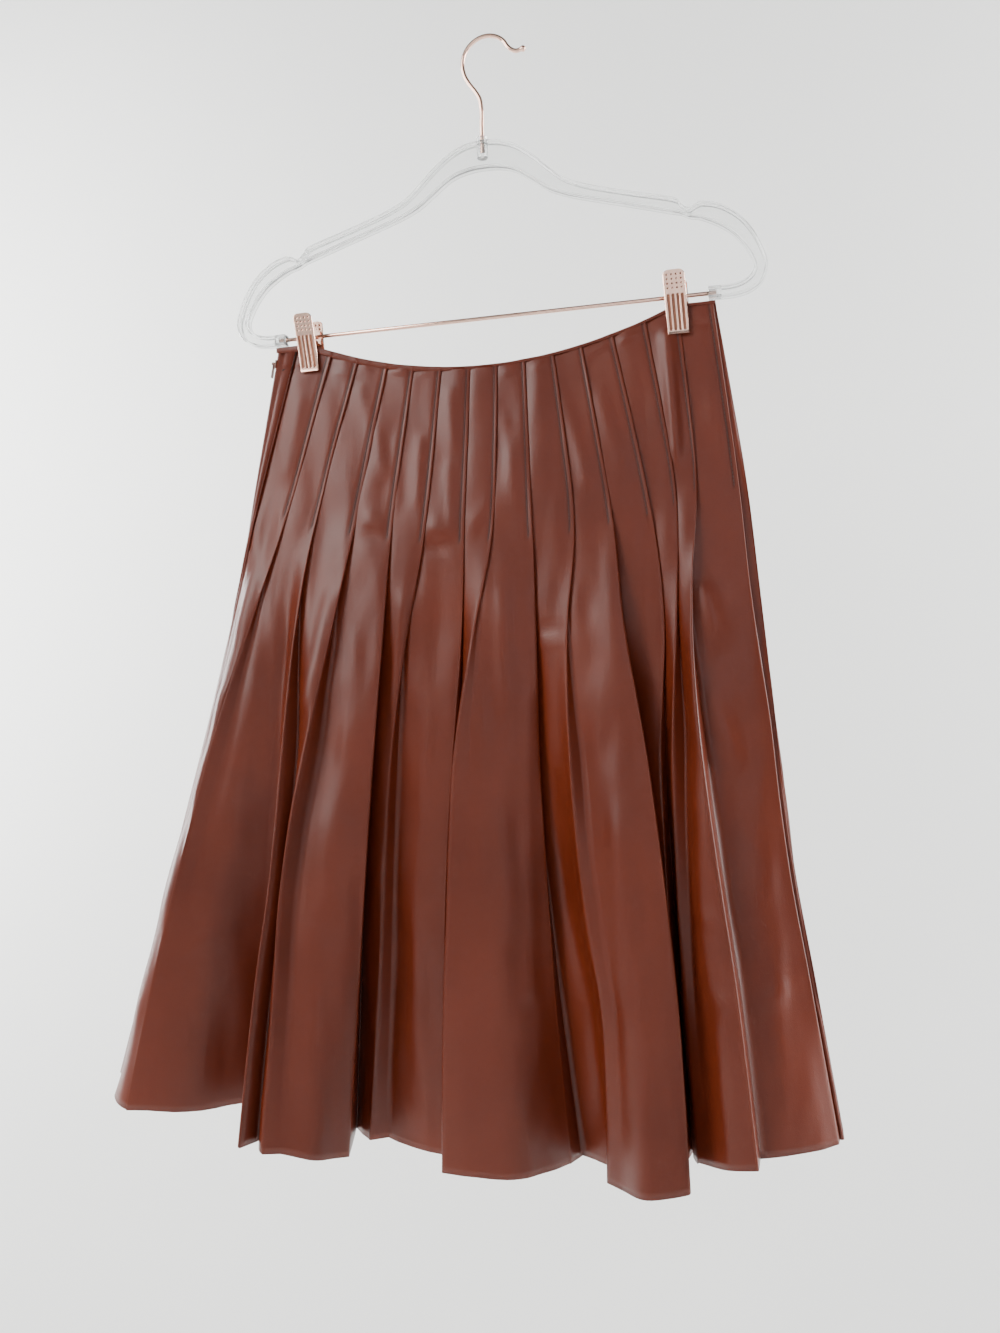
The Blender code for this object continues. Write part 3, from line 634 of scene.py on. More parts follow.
def middle_line(pleats, left, right, deepest_hem, t):
    """The middle of the wall at the level t, from the left seam to the right one."""
    deepest = between(DEEPEST_SEWN, deepest_hem, free_share(t))
    right_end, right_turn = seam_points(right, t)
    creases = [crease(pleat, t) for pleat in pleats] + [right_turn]
    points = [*seam_points(left, t)]
    clear = between(SEWN_CLEAR, CREASE_CLEAR, min(free_share(t) * LIFTING, 1.0))
    points += panel_points(points[-1], creases[0], None, (0, 0, 0), clear)
    for i, pleat in enumerate(pleats):
        start = valley(pleat, t, points[0].x + SEAM_CLEAR, deepest)
        swelling = free_share(t) ** SWELLING
        bulges = [bulge * swelling for bulge in (pleat.bulge_a, pleat.bulge_b, pleat.bulge_c)]
        points += [*nose_points(points[-1], creases[i], start, t), start]
        points += panel_points(start, creases[i + 1], creases[i], bulges, clear)
    return points + [right_turn, right_end]


def spline(values, knots, wanted):
    """A smooth curve through rows of values at knots, read at the wanted places."""
    values = np.asarray(values, float)
    knots = np.asarray(knots, float)
    slopes = np.empty_like(values)
    steps = np.diff(knots).reshape(-1, *[1] * (values.ndim - 1))
    chords = np.diff(values, axis=0) / steps
    slopes[1:-1] = (chords[:-1] * steps[1:] + chords[1:] * steps[:-1]) / (steps[:-1] + steps[1:])
    slopes[0], slopes[-1] = chords[0], chords[-1]
    k = np.clip(np.searchsorted(knots, wanted, side="right") - 1, 0, len(knots) - 2)
    width = (knots[k + 1] - knots[k]).reshape(-1, *[1] * (values.ndim - 1))
    s = (np.asarray(wanted).reshape(width.shape) - knots[k].reshape(width.shape)) / width
    start = (1 + 2 * s) * (1 - s) ** 2 * values[k] + s * (1 - s) ** 2 * width * slopes[k]
    end = s * s * (3 - 2 * s) * values[k + 1] + s * s * (s - 1) * width * slopes[k + 1]
    return start + end


Surface = namedtuple("Surface", "points levels shown sewn_shown creases")


def run_across(rows, first, last, shares):
    """The section's smooth run between two of its control columns, at shares of it."""
    count = last - first
    wanted = np.array(shares) * count
    run = spline(np.swapaxes(rows[:, first : last + 1], 0, 1), np.arange(count + 1), wanted)
    return np.swapaxes(run, 0, 1)


def crease_columns(pleats):
    """The control columns of the two seams and of the creases between them."""
    return [0, *range(5, 5 + 6 * len(pleats), 6), 5 + 6 * len(pleats) + 1]


def cloth_surface(pleats, left, right, deepest_hem, facing):
    """The skirt's surface in rows from waist to hem, in millimetres.

    facing says that it is the front, as seen from outside. shown is how much of a column lies on a
    panel and not in a fold, sewn_shown leaves out what the fold beside it covers in the sewn part,
    and creases are the columns of the creases.
    """
    control = [middle_line(pleats, left, right, deepest_hem, t) for t in CONTROL_ROWS]
    control = np.array([[tuple(point) for point in row] for row in control])
    at_waist = control[0, :, 0]
    columns = crease_columns(pleats)
    evened = np.interp(np.arange(len(at_waist)), columns, at_waist[columns])
    to_the_left = -evened if facing else evened
    drop = np.interp(to_the_left, (LEFT_DROP_FROM, LEFT_DROP_TO), (0, LEFT_DROP))
    for t, row in zip(CONTROL_ROWS, control):
        row[:, 2] += [waist_z(x) for x in between(at_waist, evened, free_share(t))]
        row[:, 2] -= drop * free_share(t)
    top = TOP_ROW_STEP / CUT_LENGTH * np.arange(TOP_ROWS)
    levels = np.concatenate((top, np.linspace(top[-1], 1, round(CUT_LENGTH / ROW_STEP))[1:]))
    rows = spline(control, CONTROL_ROWS, levels)
    runs, shown, sewn_shown, creases = [], [], [], []

    def take(first, last, steps, panel=False):
        shares = [i / steps for i in range(steps)]
        if panel:
            shares = [1 - (1 - share) ** CREASE_EASE for share in shares]
        runs.append(run_across(rows, first, last, shares))
        shown.extend(max(sin(pi * share), 0.0) ** 0.5 if panel else 0.0 for share in shares)
        open_shares = [max(share - UNDER_SHARE, 0.0) / (1 - UNDER_SHARE) for share in shares]
        sewn_shown.extend(max(sin(pi * share), 0.0) ** 0.8 if panel else 0.0 for share in open_shares)

    take(0, 1, TURN_STEPS)
    take(1, 5, PANEL_STEPS, panel=True)
    column = 5
    for pleat in pleats:
        creases.append(len(shown))
        take(column, column + 1, TURN_STEPS)
        take(column + 1, column + 2, UNDERLAY_STEPS)
        take(column + 2, column + 6, PANEL_STEPS, panel=True)
        column += 6
    take(column, column + 1, TURN_STEPS)
    runs.append(rows[:, -1:])
    shown.append(0.0)
    sewn_shown.append(0.0)
    points = np.concatenate(runs, axis=1)
    for at in creases:  # the fold's nose is round
        out = points[:, at] - (points[:, at - 1] + points[:, at + 3]) / 2
        out /= np.linalg.norm(out, axis=1, keepdims=True) + 1e-9
        reach = np.linalg.norm(points[:, at + 2] - points[:, at], axis=1, keepdims=True)
        points[:, at + 1] += out * reach * NOSE_ROUND
    return Surface(points, levels, np.array(shown), np.array(sewn_shown), creases)


def surface_normals(points):
    """Directions out of the cloth."""
    across = np.gradient(points, axis=1)
    down = np.gradient(points, axis=0)
    normals = np.cross(down, across)
    return normals / (np.linalg.norm(normals, axis=2, keepdims=True) + 1e-9)


# Soft creases and dents of the cloth, in millimetres: a line from one end to the other, how far its
# effect reaches to each side, and how far the cloth moves out of (or, if negative, into) the skirt.
Dent = namedtuple("Dent", "x z end_x end_z reach depth")
DENT_SCALE = 1.35  # on the depths of the tables
FRONT_DENTS = (
    # folds that the end of the sewing pulls across the panels
    Dent(-105, -404, -85, -403, 4, -1.0),
    Dent(-101, -389, -91, -398, 5, 1.3),
    Dent(-53, -416, -29, -412, 5, -1.2),
    Dent(-44, -400, -33, -409, 6, 1.4),
    Dent(-9, -398, 2, -384, 6, 0.8),
    Dent(46, -488, 68, -487, 3, -1.1),
    Dent(44, -496, 64, -495, 5, 0.8),
    # dents and slanting folds lower down
    Dent(-272, -738, -250, -727, 6, -1.5),
    Dent(-262, -748, -244, -738, 8, 1.6),
    Dent(172, -463, 187, -500, 7, 1.8),
    Dent(187, -500, 173, -536, 7, -1.7),
    Dent(173, -536, 191, -588, 8, 1.9),
    Dent(160, -713, 176, -708, 5, -1.2),
    Dent(172, -772, 191, -764, 6, -1.3),
    Dent(208, -772, 224, -764, 6, 1.2),
    # ridges of the facing just under the waist edge
    Dent(-132, -263, -117, -268, 2.5, 0.5),
    Dent(-105, -258, -90, -262, 2.5, 0.5),
    Dent(-81, -267, -67, -269, 2.5, 0.5),
    Dent(-54, -271, -42, -272, 2.5, 0.5),
    Dent(17, -277, 29, -277, 2.5, 0.4),
    Dent(42, -276, 52, -272, 2.5, 0.4),
    Dent(87, -268, 98, -264, 2.5, 0.5),
    Dent(113, -261, 124, -257, 2.5, 0.5),
    Dent(-184, -256, -160, -257, 2.0, -0.9),
    Dent(164, -255, 184, -254, 2.0, -0.7),
    # long soft ridges of the sewn panels
    Dent(-111, -281, -99, -312, 5, 0.9),
    Dent(-96, -321, -87, -352, 5, 0.9),
    Dent(-77, -326, -80, -375, 5, 0.8),
    Dent(-31, -292, -26, -330, 6, 0.9),
    Dent(-32, -354, -29, -395, 5, 0.8),
    Dent(-56, -328, -58, -377, 5, 0.8),
    Dent(-163, -285, -178, -343, 7, 0.7),
    Dent(15, -317, 25, -383, 6, 0.8),
    Dent(64, -305, 84, -370, 6, 0.8),
    Dent(95, -307, 114, -364, 7, 0.8),
    Dent(149, -262, 152, -352, 6, 2.2),
    # and of the free ones
    Dent(-135, -458, -153, -540, 9, 1.6),
    Dent(-231, -540, -247, -617, 10, 1.8),
    Dent(-70, -460, -82, -541, 7, 1.3),
    Dent(13, -463, 16, -543, 9, 1.3),
    Dent(32, -542, 30, -776, 6, 1.6),
)
BACK_DENTS = (
    Dent(-150, -398, -134, -404, 5, 1.2),
    Dent(-98, -412, -84, -408, 5, -1.1),
    Dent(-40, -402, -28, -413, 6, 1.3),
    Dent(12, -409, 24, -403, 5, -1.0),
    Dent(66, -400, 80, -410, 6, 1.2),
    Dent(118, -398, 134, -404, 5, 1.1),
    Dent(-208, -560, -196, -604, 8, 1.8),
    Dent(-196, -604, -206, -650, 8, -1.6),
    Dent(-72, -596, -64, -700, 8, 1.6),
    Dent(40, -520, 58, -610, 8, 1.7),
    Dent(150, -560, 170, -640, 9, 1.7),
    Dent(214, -700, 236, -712, 7, -1.4),
    Dent(-150, -752, -128, -744, 7, 1.3),
    Dent(80, -770, 100, -762, 6, -1.3),
    Dent(-132, -290, -138, -350, 6, 0.9),
    Dent(-84, -300, -88, -370, 6, 0.9),
    Dent(-12, -300, -14, -366, 6, 0.9),
    Dent(40, -306, 44, -372, 6, 0.9),
    Dent(88, -296, 98, -360, 6, 0.9),
    Dent(140, -280, 152, -344, 6, 0.8),
    Dent(-184, -255, -162, -256, 2.0, -0.8),
    Dent(162, -256, 184, -255, 2.0, -0.8),
)


# Bumps of the cloth: how wide and tall they are, and how far they move it, in millimetres.
Bumps = namedtuple("Bumps", "wide tall height")
SLOW_BUMPS = Bumps(30, 80, 2.6)
QUICK_BUMPS = Bumps(13, 36, 0.8)
LONG_BUMPS = Bumps(19, 240, 1.5)  # only where the cloth hangs free
CROWN = 0.7  # how far a panel's middle swells out, in millimetres
SEWN_SLACK = 0.85  # how much of the unevenness is left where the cloth is sewn
LOOSENING = 9  # the cloth hangs free from a ninth of its length below the sewing


def bump_at(bumps, at, seeds):
    place = Vector((at[0] / bumps.wide + seeds[0], at[1] / bumps.wide + seeds[1], at[2] / bumps.tall))
    return bumps.height * noise.noise(place)


def dented(surface, dents, seed):
    """Moves the surface by its dents and its bumps, and pulls it in along the topstitching."""
    points = surface.points
    normals = surface_normals(points)
    shift = np.zeros(points.shape[:2])
    plane = points[:, :, (0, 2)]
    for dent in dents:
        start, end = np.array((dent.x, dent.z), float), np.array((dent.end_x, dent.end_z), float)
        run = end - start
        s = np.clip(((plane - start) @ run) / (run @ run), 0, 1)
        away = np.linalg.norm(plane - start - s[..., None] * run, axis=2)
        shift += dent.depth * DENT_SCALE * np.exp(-((away / dent.reach) ** 2))
    free = np.minimum(np.maximum(surface.levels - SEWN, 0) * LOOSENING, 1)
    shown = between(surface.sewn_shown, surface.shown, free[:, None])
    for i, j in np.argwhere(shown > 0):
        at = points[i, j]
        bumps = CROWN + bump_at(SLOW_BUMPS, at, (0, seed)) + bump_at(QUICK_BUMPS, at, (seed, 0))
        bumps += free[i] * bump_at(LONG_BUMPS, at, (0, seed))
        shift[i, j] += between(SEWN_SLACK, 1.0, free[i]) * bumps
    shift *= shown
    sewn_rows = surface.levels <= STITCH_LAST_LEVEL
    for at in surface.creases:
        shift[sewn_rows, at - STITCH_COLUMN] -= STITCH_PULL
    return surface._replace(points=points + normals * shift[..., None])


MATT_AND_SHADE_COLUMNS = 6  # beside the right side seam, matt and with painted shade
SHALLOW, DEEP = 9.0, 22.0  # the depths of a fold between which its inside gets painted shade
FOLD_SHADE_SHARES = (0.5, 1.0, 1.0, 0.35)  # how much painted shade, in four columns from two before its valley


def surface_layers(surface):
    """Where the leather has painted shade along its topstitching, is rubbed on its folds, has painted
    shade deep in a fold, and is matt with painted shade beside the seams, at each point.
    """
    stitch_groove_shade, folded, fold_shade, matt_and_shade = np.zeros((4, *surface.points.shape[:2]))
    # the seam panel at the left and the last columns at the right: matt, with painted shade
    matt_and_shade[:, : surface.creases[0] - 1] = 1
    matt_and_shade[:, -MATT_AND_SHADE_COLUMNS:] = 1
    for at in surface.creases:
        # painted shade along the topstitching's groove in the sewn rows
        stitch_groove_shade[surface.levels <= STITCH_LAST_LEVEL, at - STITCH_COLUMN] = 1
        folded[:, at] = 1
        valley_at = at + TURN_STEPS + UNDERLAY_STEPS
        behind = surface.points[:, valley_at, 1] - surface.points[:, at, 1]
        depth = np.clip((behind - SHALLOW) / (DEEP - SHALLOW), 0, 1)[:, None]
        # painted shade in the columns around each deep fold's valley
        fold_shade[:, valley_at - 2 : valley_at + 2] = depth * FOLD_SHADE_SHARES
    return {"stitch_groove_shade": stitch_groove_shade, "folded": folded, "fold_shade": fold_shade, "matt_and_shade": matt_and_shade}


def cloth_piece(name, surface, material, backing, turn):
    """A shell of the cloth's thickness on the surface, its inner side and rim of the backing."""
    bm = bmesh.new()
    grid_mesh(bm, surface.points[::-1])
    piece = mesh_piece(name, bm, material)
    for key, values in surface_layers(surface).items():
        layer = piece.data.attributes.new(key, "FLOAT", "POINT")
        layer.data.foreach_set("value", values[::-1].ravel())
    piece.data.materials.append(backing)
    thicken = piece.modifiers.new("cloth", "SOLIDIFY")
    thicken.thickness = CLOTH * MM
    thicken.offset = 0.0
    thicken.material_offset = 1
    thicken.material_offset_rim = 1
    piece = applied(piece)
    if turn:
        turned_back(piece.data)
    piece.data.shade_smooth()
    return piece


# ---- Topstitching.

def stitch_lines(surface):
    """A line along each crease's edge in the sewn part, on the cloth's outer face."""
    normals = surface_normals(surface.points)
    levels = surface.levels
    rows = (STITCH_FIRST_LEVEL <= levels) & (levels <= STITCH_LAST_LEVEL)
    columns = [at - STITCH_COLUMN for at in surface.creases]
    lifted = surface.points + normals * (CLOTH / 2 + STITCH_RADIUS * STITCH_LIFT)
    return [lifted[rows, column] for column in columns]


def stitch_tree(material):
    """Geometry nodes that set stitches along curves."""
    tree = bpy.data.node_groups.new("topstitching", "GeometryNodeTree")
    tree.interface.new_socket("Geometry", in_out="INPUT", socket_type="NodeSocketGeometry")
    for name in ("Pitch", "Length", "Radius"):
        tree.interface.new_socket(name, in_out="INPUT", socket_type="NodeSocketFloat")
    tree.interface.new_socket("Geometry", in_out="OUTPUT", socket_type="NodeSocketGeometry")
    start = tree.nodes.new("NodeGroupInput")
    end = tree.nodes.new("NodeGroupOutput")

    add = tree.nodes.new
    spaced = add("GeometryNodeResampleCurve")
    spaced.mode = "LENGTH"
    thread = add("GeometryNodeCurvePrimitiveLine")
    ends = add("ShaderNodeCombineXYZ")
    round_it = add("GeometryNodeCurvePrimitiveCircle")
    round_it.inputs["Resolution"].default_value = STITCH_SIDES
    solid = add("GeometryNodeCurveToMesh")
    solid.inputs["Fill Caps"].default_value = True
    along = add("GeometryNodeInputTangent")
    aimed = add("FunctionNodeAlignRotationToVector")
    aimed.axis = "Z"
    set_each = add("GeometryNodeInstanceOnPoints")
    real = add("GeometryNodeRealizeInstances")
    finish = add("GeometryNodeSetMaterial")
    finish.inputs["Material"].default_value = material
    link = tree.links.new
    link(start.outputs["Geometry"], spaced.inputs["Curve"])
    link(start.outputs["Pitch"], spaced.inputs["Length"])
    link(start.outputs["Length"], ends.inputs["Z"])
    link(ends.outputs[0], thread.inputs["End"])
    link(start.outputs["Radius"], round_it.inputs["Radius"])
    link(thread.outputs["Curve"], solid.inputs["Curve"])
    link(round_it.outputs["Curve"], solid.inputs["Profile Curve"])
    link(spaced.outputs["Curve"], set_each.inputs["Points"])
    link(solid.outputs["Mesh"], set_each.inputs["Instance"])
    link(along.outputs["Tangent"], aimed.inputs["Vector"])
    link(aimed.outputs["Rotation"], set_each.inputs["Rotation"])
    link(set_each.outputs["Instances"], real.inputs["Geometry"])
    link(real.outputs["Geometry"], finish.inputs["Geometry"])
    link(finish.outputs["Geometry"], end.inputs["Geometry"])
    return tree


def stitches(name, lines, tree, turn):
    """Stitches along lines of points in millimetres."""
    curve = bpy.data.curves.new(name, "CURVE")
    curve.dimensions = "3D"
    for line in lines:
        run = curve.splines.new("POLY")
        run.points.add(len(line) - 1)
        for target, point in zip(run.points, line):
            target.co = (*(point * MM), 1.0)
    guide = linked(name, curve)
    modifier = guide.modifiers.new("stitches", "NODES")
    modifier.node_group = tree
    sizes = {"Pitch": STITCH_PITCH, "Length": STITCH_LENGTH, "Radius": STITCH_RADIUS}
    for item in tree.interface.items_tree:
        if item.in_out == "INPUT" and item.name in sizes:
            modifier[item.identifier] = sizes[item.name] * MM
    mesh = evaluated_mesh(guide)
    bpy.data.objects.remove(guide)
    if turn:
        turned_back(mesh)
    mesh.shade_smooth()
    return linked(name, mesh)


# ---- The waist edge.

EDGE_FACE = WAIST_DEPTH + 0.25  # from the middle plane to the inner face of the band
EDGE_WALL = 0.6
EDGE_ABOVE = 0.5
EDGE_ROLL = 0.6  # radius of the band's turned top
EDGE_STEPS = 320
PLEAT_PITCH = 24
LAYER_STEP = 0.30  # how far the band stands out over the layers of a fold
LAYER_REACH = 9  # and to how far from its crease
LAYER_SUNK = 0.12  # how far it lies in between folds
# How far down the band reaches from the waist line, along the front.
EdgeDrop = namedtuple("EdgeDrop", "x drop")
EDGE_DROPS = (
    EdgeDrop(-190, 3.2),
    EdgeDrop(-150, 4.4),
    EdgeDrop(-110, 4.2),
    EdgeDrop(-60, 3.4),
    EdgeDrop(-20, 1.7),
    EdgeDrop(20, 1.0),
    EdgeDrop(190, 1.3),
)


def waver(x, width, lane):
    """A slow change along the band, from -1 to 1. Each lane is another one."""
    return noise.noise(Vector((x / width, *lane)))


def edge_section(x, pleats):
    """The band's outline at x: up its outer face, round its top and in to the middle plane."""
    beyond = pleats[-1].waist + PLEAT_PITCH
    next_crease = min((p.waist for p in pleats if p.waist >= x), default=beyond)
    layered = LAYER_STEP * max(0.0, 1 - (next_crease - x) / LAYER_REACH) - LAYER_SUNK
    face = EDGE_FACE + layered + 0.12 * waver(x, 9, (1.7, 0))
    inner = waist_z(x) + EDGE_ABOVE + 0.25 * waver(x, 23, (0, 4.1))
    top = inner + EDGE_WALL
    drop = np.interp(x, [row.x for row in EDGE_DROPS], [row.drop for row in EDGE_DROPS])
    low = waist_z(x) - drop + 0.3 * waver(x, 16, (9.0, 0))
    outer = -face - EDGE_WALL
    outline = [(-face, low), (-face - EDGE_WALL * 0.6, low - 0.12), (outer, low + 0.3)]
    outline.append((outer - 0.12, between(low, top, 0.5)))
    for i in range(5):
        turn = pi / 2 * i / 4
        outline.append((outer + EDGE_ROLL * (1 - cos(turn)), top - EDGE_ROLL * (1 - sin(turn))))
    outline += [(-face / 2, top + 0.1), (-0.05, top - 0.1), (-0.05, inner), (-face, inner)]
    return [Vector((x, y, z)) for y, z in outline]


def waist_edge(name, left, right, pleats, material, turn):
    start, end = left.waist - CLOTH / 2, right.waist + CLOTH / 2
    along = [between(start, end, i / EDGE_STEPS) for i in range(EDGE_STEPS + 1)]
    piece = lofted(name, [edge_section(x, pleats) for x in along], material, sharp=60)
    if turn:
        turned_back(piece.data)
    return piece


def turned_round(seam):
    """A side seam as seen from behind."""
    return Seam(*(-value for value in seam))


Side = namedtuple("Side", "pleats left right deepest dents flat_width seed")
SIDES = {
    "front": Side(FRONT_PLEATS, LEFT_SEAM, RIGHT_SEAM, DEEPEST_FRONT_HEM, FRONT_DENTS, 0.87, 0.0),
    "back": Side(
        BACK_PLEATS,
        turned_round(RIGHT_SEAM),
        turned_round(LEFT_SEAM),
        DEEPEST_BACK_HEM,
        BACK_DENTS,
        0.84,
        7.3,
    ),
}


def add_skirt():
    leather, backing, thread = leather_material(), backing_material(), thread_material()
    tree = stitch_tree(thread)
    for name, side in SIDES.items():
        turn = name == "back"
        surface = cloth_surface(side.pleats, side.left, side.right, side.deepest, facing=not turn)
        surface = dented(surface, side.dents, side.seed)
        cloth = cloth_piece(f"cloth_{name}", surface, leather, backing, turn)
        dress(cloth, f"skirt_{name}")
        band = waist_edge(f"edge_{name}", side.left, side.right, side.pleats, leather, turn)
        dress(band, f"waist_edge_{name}")
        seams = stitches(f"topstitching_{name}", stitch_lines(surface), tree, turn)
        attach(seams, "skirt")


# ---- The hanger.

Station = namedtuple("Station", "top_x top_z low_x low_z")
HANGER_STATIONS = (
    Station(0, -84, 0, -106.5),
    Station(14, -85.5, 13, -107.5),
    Station(28, -91, 27, -111.5),
    Station(43, -102, 41, -121),
    Station(57, -115, 55, -131),
    Station(69, -124.5, 71, -138),
    Station(88, -132.5, 90, -144),
    Station(120, -142, 121, -153),
    Station(154, -151.5, 153, -162.5),
    Station(160, -157, 160, -164.5),
    Station(166, -161.5, 167, -168),
    Station(172, -159, 173, -169.5),
    Station(178, -158, 177, -171),
    Station(191, -162, 186, -175.5),
    Station(205, -172, 197, -183),
    Station(215, -185, 206, -193),
    Station(222, -200, 212.5, -204),
    Station(225, -212, 215, -212),
    Station(221, -224, 212.5, -218),
    Station(211, -231, 206, -222.5),
    Station(198, -233.5, 197, -224.5),
    Station(180, -233.5, 180, -224.5),
)
RIM_HALF_WIDTH = 4.3
RIM_HEIGHT = 1.9
WEB_HALF_WIDTH = 1.1
BOSS_RADIUS = 4.6
BOSS_TOP_Z = -80.0
BOSS_LOW_Z = -98.0
SOCKET_RADIUS = 4.2
SOCKET_LENGTH = 10.0
STATION_STEPS = 5
TURNED_SIDES = 32
HOOK_STEPS = 160
ROUNDING = 0.55
BAR_Z = -229.0
BAR_RADIUS = 1.65
BAR_END_X = 186.0
BAR_CHAMFER = 0.4
WIRE_RADIUS = 1.65
STEM_LOW_Z = -94.0
FIT = 0.3
STEM_AND_BEND = (
    (0, STEM_LOW_Z),
    (0, -72),
    (0, -56),
    (-1.2, -48.5),
    (-5, -41.5),
    (-10, -34.5),
    (-14, -26.5),
)
ARC_X = 5.0
ARC_Z = -18.0
ARC_RADIUS = 20.33
ARC_FROM = 180.0
ARC_TO = 24.0
ARC_STEPS = 8
LIP = ((27, -12.8), (30.5, -14.2))
TIP = (36.0, -13.3)
TIP_RADIUS = 2.4
TIP_STEPS = 10


def h_section(station):
    """The H outline of the hanger, its corners cut, at one station."""
    top = Vector((station[0], 0, station[1]))
    low = Vector((station[2], 0, station[3]))
    up = (top - low).normalized()
    height = (top - low).length
    lower = [
        (RIM_HALF_WIDTH - ROUNDING, 0.0),
        (RIM_HALF_WIDTH, ROUNDING),
        (RIM_HALF_WIDTH, RIM_HEIGHT - ROUNDING / 2),
        (RIM_HALF_WIDTH - ROUNDING / 2, RIM_HEIGHT),
        (WEB_HALF_WIDTH + ROUNDING, RIM_HEIGHT),
        (WEB_HALF_WIDTH, RIM_HEIGHT + ROUNDING),
    ]
    half = lower + [(out, height - rise) for out, rise in lower[::-1]]
    outline = [low + up * rise - Vector((0, out, 0)) for out, rise in half]
    return outline + [low + up * rise + Vector((0, out, 0)) for out, rise in half[::-1]]


def add_hanger(clear):
    mirrored = [Station(-s.top_x, s.top_z, -s.low_x, s.low_z) for s in HANGER_STATIONS[:0:-1]]
    stations = np.array([*mirrored, *HANGER_STATIONS], float)
    last = len(stations) - 1
    wanted = np.linspace(0, last, last * STATION_STEPS + 1)
    fine = spline(stations, np.arange(last + 1), wanted)
    pieces = [lofted("hanger_plastic", [h_section(station) for station in fine], clear, sharp=35)]
    boss = [(BOSS_LOW_Z, 0.0), (BOSS_LOW_Z, BOSS_RADIUS - 0.5), (BOSS_LOW_Z + 0.5, BOSS_RADIUS)]
    boss += [(BOSS_TOP_Z - 0.6, BOSS_RADIUS), (BOSS_TOP_Z, BOSS_RADIUS - 0.6)]
    boss += [(BOSS_TOP_Z, WIRE_RADIUS + FIT), (STEM_LOW_Z - FIT, WIRE_RADIUS + FIT)]
    boss.append((STEM_LOW_Z - FIT, 0.0))
    pieces.append(turned("hanger_boss", boss, (0, 0, 0), "Z", clear))
    for side in (-1, 1):
        near = HANGER_STATIONS[-1].low_x
        far = near + SOCKET_LENGTH
        socket = [(near, BAR_RADIUS + FIT), (near, SOCKET_RADIUS - 0.5), (near + 0.5, SOCKET_RADIUS)]
        socket += [(far - 1.2, SOCKET_RADIUS), (far, SOCKET_RADIUS - 1.2), (far, 0.0)]
        socket += [(BAR_END_X + FIT, 0.0), (BAR_END_X + FIT, BAR_RADIUS + FIT)]
        outline = [(side * along, radius) for along, radius in socket]
        pieces.append(turned(f"hanger_socket_{side}", outline, (0, 0, BAR_Z), "X", clear))
    return joined("hanger_plastic", pieces)


def turned(name, outline, centre, axis, material):
    """A turned solid from (along, radius) points, closed where the radius is 0."""
    bm = bmesh.new()
    rings = []
    for i in range(TURNED_SIDES):
        turn = tau * i / TURNED_SIDES
        ring = []
        for along, radius in outline:
            across = (radius * cos(turn), radius * sin(turn))
            at = (along, *across) if axis == "X" else (*across, along)
            ring.append(Vector(at) + Vector(centre))
        rings.append(ring)
    rings.append(rings[0])
    grid_mesh(bm, rings, closed_across=outline[0][1] > 0)
    bmesh.ops.remove_doubles(bm, verts=bm.verts, dist=0.00001)
    bmesh.ops.recalc_face_normals(bm, faces=bm.faces)
    return mesh_piece(name, bm, material, sharp=35)


def hook_route():
    """Points of the hook's wire from its stem to the ball at its tip, each with its radius."""
    knots = [Vector((x, 0, z)) for x, z in STEM_AND_BEND]
    for i in range(ARC_STEPS + 1):
        turn = radians(between(ARC_FROM, ARC_TO, i / ARC_STEPS))
        knots.append(Vector((ARC_X + ARC_RADIUS * cos(turn), 0, ARC_Z + ARC_RADIUS * sin(turn))))
    knots += [Vector((x, 0, z)) for x, z in LIP]
    tip = Vector((TIP[0], 0, TIP[1]))
    ball_start = asin(WIRE_RADIUS / TIP_RADIUS)
    along = (tip - knots[-1]).normalized()
    knots.append(tip - along * TIP_RADIUS * cos(ball_start))
    lengths = np.cumsum([0] + [(b - a).length for a, b in zip(knots, knots[1:])])
    wanted = np.linspace(0, lengths[-1], HOOK_STEPS)
    path = spline([tuple(knot) for knot in knots], lengths, wanted)
    route = [(Vector(point), WIRE_RADIUS) for point in path]
    for i in range(1, TIP_STEPS + 1):
        turn = between(ball_start, pi, i / TIP_STEPS)
        route.append((tip - along * TIP_RADIUS * cos(turn), max(TIP_RADIUS * sin(turn), 0.05)))
    return route


# ---- The clips.

Clip = namedtuple("Clip", "bar_x slant")
CLIPS = {"left": Clip(-157.8, 0.104), "right": Clip(155.1, 0.062)}
CLIP_HALF_WIDTH = 8.5
CLIP_PLATE = 1.0
CLIP_CORNER = 4.0
PLATE_TOP = 17.5
PLATE_BOTTOM = -31.5
PlatePoint = namedtuple("PlatePoint", "out up")
PLATE_LINE = (
    PlatePoint(12.6, 17.5),
    PlatePoint(12.0, 12.0),
    PlatePoint(10.9, 2.0),
    PlatePoint(10.0, -8.0),
    PlatePoint(9.3, -18.0),
    PlatePoint(8.9, -26.0),
    PlatePoint(8.8, -29.5),
    PlatePoint(9.2, -31.5),
)
EAR_OUTLINE = (
    PlatePoint(11.4, 8.0),
    PlatePoint(2.0, 5.0),
    PlatePoint(-3.5, 2.6),
    PlatePoint(-4.2, 0.0),
    PlatePoint(-3.5, -2.6),
    PlatePoint(2.0, -5.0),
    PlatePoint(9.8, -5.0),
)
EAR_THICKNESS = 1.2
EAR_OUTER_X = {"front": 8.4, "back": 6.9}
OUTWARDS = {"front": -1, "back": 1}
DOT_COLUMNS = (-5.4, -1.8, 1.8, 5.4)
DOT_ROWS = (14.0, 10.6, 7.2, 3.8)
DOT_RADIUS = 0.72
SLOT_TOP = -1.5
SLOT_BOTTOM = -27.5
SLOT_HALF_WIDTH = 0.95
PRESSED = 0.7  # depth of the dots and slots
ROLLED_IN = 0.9  # how far the plate's side edges are rolled in
ROLLED_SHARE = 0.1  # over this share of its half width
PLATE_ACROSS = 68
PLATE_DOWN = 190
SPRING_RADIUS = 2.75
SPRING_WIRE = 0.45
SPRING_TURNS = 6
SPRING_STEPS = 20  # along one turn
SPRING_HALF_LENGTH = 4.3


